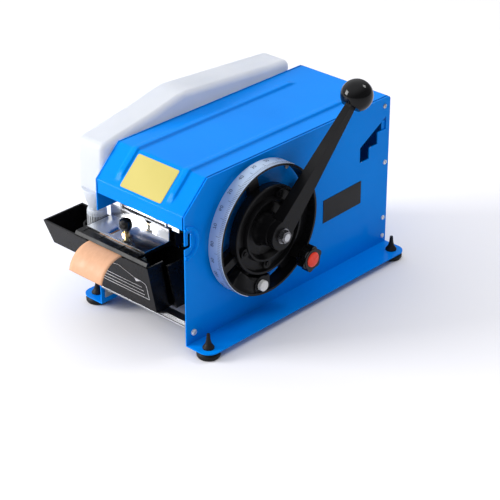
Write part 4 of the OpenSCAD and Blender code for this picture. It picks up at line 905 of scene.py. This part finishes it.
def tuft_tree():
    """Upright tapered strands on a grid of points, each a little turned and leaning."""
    tree, given, sockets = new_tree("brush_tufts", {
        "Width": "Float", "Depth": "Float", "Across": "Int", "Rows": "Int", "Length": "Float",
        "Finish": "Material",
    })
    bed = added(tree, "GeometryNodeMeshGrid", {
        "Size X": given["Width"], "Size Y": given["Depth"], "Vertices X": given["Across"],
        "Vertices Y": given["Rows"],
    })
    strand = added(tree, "GeometryNodeMeshCone", {
        "Vertices": 5, "Radius Top": 0.00016, "Radius Bottom": 0.00042, "Depth": given["Length"],
    })
    lean = added(tree, "FunctionNodeRandomValue", {
        0: (-0.018, -0.018, 0), 1: (0.018, 0.018, 6.28), "Seed": 7,
    }, data_type="FLOAT_VECTOR")
    copies = added(tree, "GeometryNodeInstanceOnPoints", {
        "Points": bed.outputs["Mesh"], "Instance": strand.outputs["Mesh"], "Rotation": lean.outputs[0],
    })
    end_tree(tree, given, copies)
    return tree, sockets


def solid_block(form, low, high):
    """A plain block of a brush's back, added to the form."""
    for v in bmesh.ops.create_cube(form, size=1)["verts"]:
        v.co = (low + high) / 2 + v.co * (high - low)


brush_low, brush_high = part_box("wet_brushes")
tuft_length, back_height, back_depth = 0.025, 0.008, 10
tuft_top = brush_high.z - tuft_length
brush_form = bmesh.new()
brush_tufts = tuft_tree()
for y in (-14, 8):
    solid_block(brush_form, Vector((brush_low.x, machine(0, y, 0).y, tuft_top - back_height)),
                Vector((brush_high.x, machine(0, y + back_depth, 0).y, tuft_top)))
    gathered(brush_form, grown("tufts", *brush_tufts, {
        "Width": brush_high.x - brush_low.x - 0.005, "Depth": 0.0078, "Across": 78, "Rows": 9,
        "Length": tuft_length, "Finish": fibre,
    }, Matrix.Translation(((brush_low.x + brush_high.x) / 2, machine(0, y + back_depth / 2, 0).y,
                           tuft_top - 0.0002))))
foot_inset, foot_width = 0.003, 0.006
for x in (brush_low.x + foot_inset, brush_high.x - foot_inset - foot_width):
    for first_y, low_z, high_z in ((3.5, brush_low.z, brush_high.z - 0.029),
                                   (-12, brush_high.z - 0.039, brush_high.z - 0.0328)):
        solid_block(brush_form, Vector((x, machine(0, first_y, 0).y, low_z)),
                    Vector((x + foot_width, machine(0, 12, 0).y, high_z)))
brush_pair = formed("brush_pair", brush_form, fibre)
set_on(brush_pair, "tank")
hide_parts("wet_brushes")

# ------------------------------------------------------------------ pressure plate
# A folded plate of polished stainless steel that keeps the tape down on the brushes, with a slot. It is
# lifted by a barrel-shaped black knob on a brass stud with a six-sided foot, told apart by height.

stainless = metal("polished_stainless", (0.76, 0.77, 0.79), (0.84, 0.85, 0.87), (0.14, 0.2),
                  (0.05, 1, 1), 500, scratch=0.000003)
plate_low, plate_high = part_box("pressure_plate")
plate_gauge, plate_fold = 0.0015, 0.0028
plate_outline = folded([(plate_low.y, plate_low.z), (plate_high.y, plate_low.z),
                        (plate_high.y, plate_high.z)], [plate_fold])
plate_outline += folded([(plate_low.y, plate_low.z + plate_gauge),
                         (plate_high.y - plate_gauge, plate_low.z + plate_gauge),
                         (plate_high.y - plate_gauge, plate_high.z)], [plate_fold - plate_gauge])[::-1]
plate_form = bmesh.new()
tube(plate_form, [[(x, *p) for p in plate_outline] for x in (plate_low.x, plate_high.x)])

slot_half, slot_near, slot_far = 0.00175, 0.007, 0.023
slot_middle = (plate_low.x + plate_high.x) / 2 - 0.017
slot_outline = []
for k in range(24):
    a = math.tau * k / 24
    slot_outline.append((slot_middle + slot_half * math.cos(a),
                         plate_low.y + (slot_far if k < 12 else slot_near) + slot_half * math.sin(a)))
slot_form = bmesh.new()
tube(slot_form, [[(*p, z) for p in slot_outline] for z in (plate_low.z - 0.002, plate_low.z + 0.004)])


def combined(name, holder, other, operation):
    """Cuts or joins another closed form, bakes the result and removes the other."""
    work = holder.modifiers.new("work", "BOOLEAN")
    work.operation = operation
    work.solver = "EXACT"
    work.object = other
    piece = baked(name, holder)
    bpy.data.objects.remove(other)
    return piece


cutter = linked("plate_slot", slot_form, stainless)
slotted = combined("plate_slotted", linked("plate_raw", plate_form, stainless), cutter, "DIFFERENCE")
rounded(slotted, 0.00025, 2, 50)
folded_plate = baked("folded_plate", slotted)
folded_plate.data.set_sharp_from_angle(angle=math.radians(35))
set_on(folded_plate, "plate")
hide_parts("pressure_plate")

knob_finish, knob_tree, knob_shader = new_finish("knob_on_stud")
knob_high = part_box("plate_knob")[1]
barrel_height = 0.0181
knob_where = added(knob_tree, "ShaderNodeTexCoord")
knob_height = added(knob_tree, "ShaderNodeSeparateXYZ", {0: knob_where.outputs["Object"]})
is_brass = maths(knob_tree, "LESS_THAN", knob_height.outputs["Z"], knob_high.z - barrel_height)
knob_colour = added(knob_tree, "ShaderNodeMix", {
    "Factor": is_brass,
    6: two_tone(grain(knob_tree, 18, 4), (0.003, 0.003, 0.003), (0.007, 0.007, 0.007)),
    7: two_tone(grain(knob_tree, 60, 4), (0.62, 0.45, 0.20), (0.76, 0.58, 0.30)),
}, data_type="RGBA")
fed(knob_shader, {
    "Base Color": knob_colour.outputs[2],
    "Metallic": is_brass,
    "Roughness": spread(grain(knob_tree, 60, 4), 0.12, 0.24),
})
dress("plate_knob", knob_finish)

# ------------------------------------------------------------------ water bottle
# A blow-moulded bottle of milky polyethylene on its side, with rounded corners and a neck that points
# down into the reservoir. Its ribbed cap is of the same plastic.

milky, milky_tree, milky_shader = new_finish("milky_polyethylene")
fed(milky_shader, {
    "Base Color": two_tone(grain(milky_tree, 14, 4), (0.78, 0.81, 0.86), (0.84, 0.86, 0.90)),
    "Roughness": spread(grain(milky_tree, 50, 4), 0.28, 0.42),
    "Normal": relief(grain(milky_tree, 300, 2), 0.00005),
    "Transmission Weight": 0.35,
    "Specular IOR Level": 0.3,
    "Subsurface Weight": 0.3,
    "Subsurface Radius": (0.02, 0.02, 0.02),
    "IOR": 1.3,
})

bottle_low, bottle_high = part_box("water_bottle")
bottle_profile = [machine(0, y, z) for y, z in ((18, 169), (20, 258), (130, 277), (192, 291), (435, 273),
                                                (435, 188), (60, 165))]
bottle_form = bmesh.new()
tube(bottle_form, [[(x, p.y, p.z) for p in bottle_profile] for x in (bottle_low.x, bottle_high.x)])
raw_bottle = linked("bottle_raw", bottle_form, milky, 180)
rounded(raw_bottle, 0.010, 6, 5)

cap_low, cap_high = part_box("bottle_cap")
neck_x, neck_y = (cap_low.x + cap_high.x) / 2, (cap_low.y + cap_high.y) / 2
neck_rows = []
for z, radius, shift in ((178, 0.0255, 0.0052), (171, 0.024, 0.004), (162, 0.0195, 0.0025),
                         (153, 0.0152, 0.001), (147, 0.0129, 0), (133.2, 0.0129, 0)):
    height = machine(0, 0, z).z
    turns = [math.tau * k / 48 for k in range(48)]
    neck_rows.append([(neck_x + radius * math.cos(a), neck_y + shift + radius * math.sin(a), height)
                      for a in turns])
neck_form = bmesh.new()
tube(neck_form, neck_rows)
joined_bottle = combined("bottle_joined", raw_bottle, linked("bottle_neck", neck_form, milky, 180), "UNION")
smoothed(joined_bottle.data, 34)
levelled(joined_bottle)
bottle = baked("bottle_shell", joined_bottle)
set_on(bottle, "bottle")
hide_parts("water_bottle")

cap_plastic = moulded("cap_plastic", (0.74, 0.77, 0.81), (0.84, 0.87, 0.91), (0.35, 0.5), clear=0.15)
eased("bottle_cap", 0.0003, cap_plastic)
# Near-black bars laid in the cap's grooves are painted shade in the grooves; the cap itself is all milky
# plastic.
groove_shade_black = moulded("groove_shade_black", (0.03, 0.032, 0.036), (0.06, 0.062, 0.068), (0.5, 0.65))
groove_count, groove_length, groove_inset, groove_top = 48, 0.019, 0.00075, 0.021
upright = Matrix(((0, 1, 0), (0, 0, 1), (1, 0, 0))).to_4x4()
painted_groove_shade = grown("painted_groove_shade", *rim_bars, {
    "Count": groove_count, "First": math.pi / groove_count, "Sweep": math.tau,
    "Radius": (cap_high.x - cap_low.x) / 2 - groove_inset, "Length": groove_length,
    "Long": groove_length, "Depth": 0.0006, "Width": 0.0007, "Finish": groove_shade_black,
}, Matrix.Translation((neck_x, neck_y, cap_low.z + groove_top)) @ upright)
set_on(painted_groove_shade, "bottle")
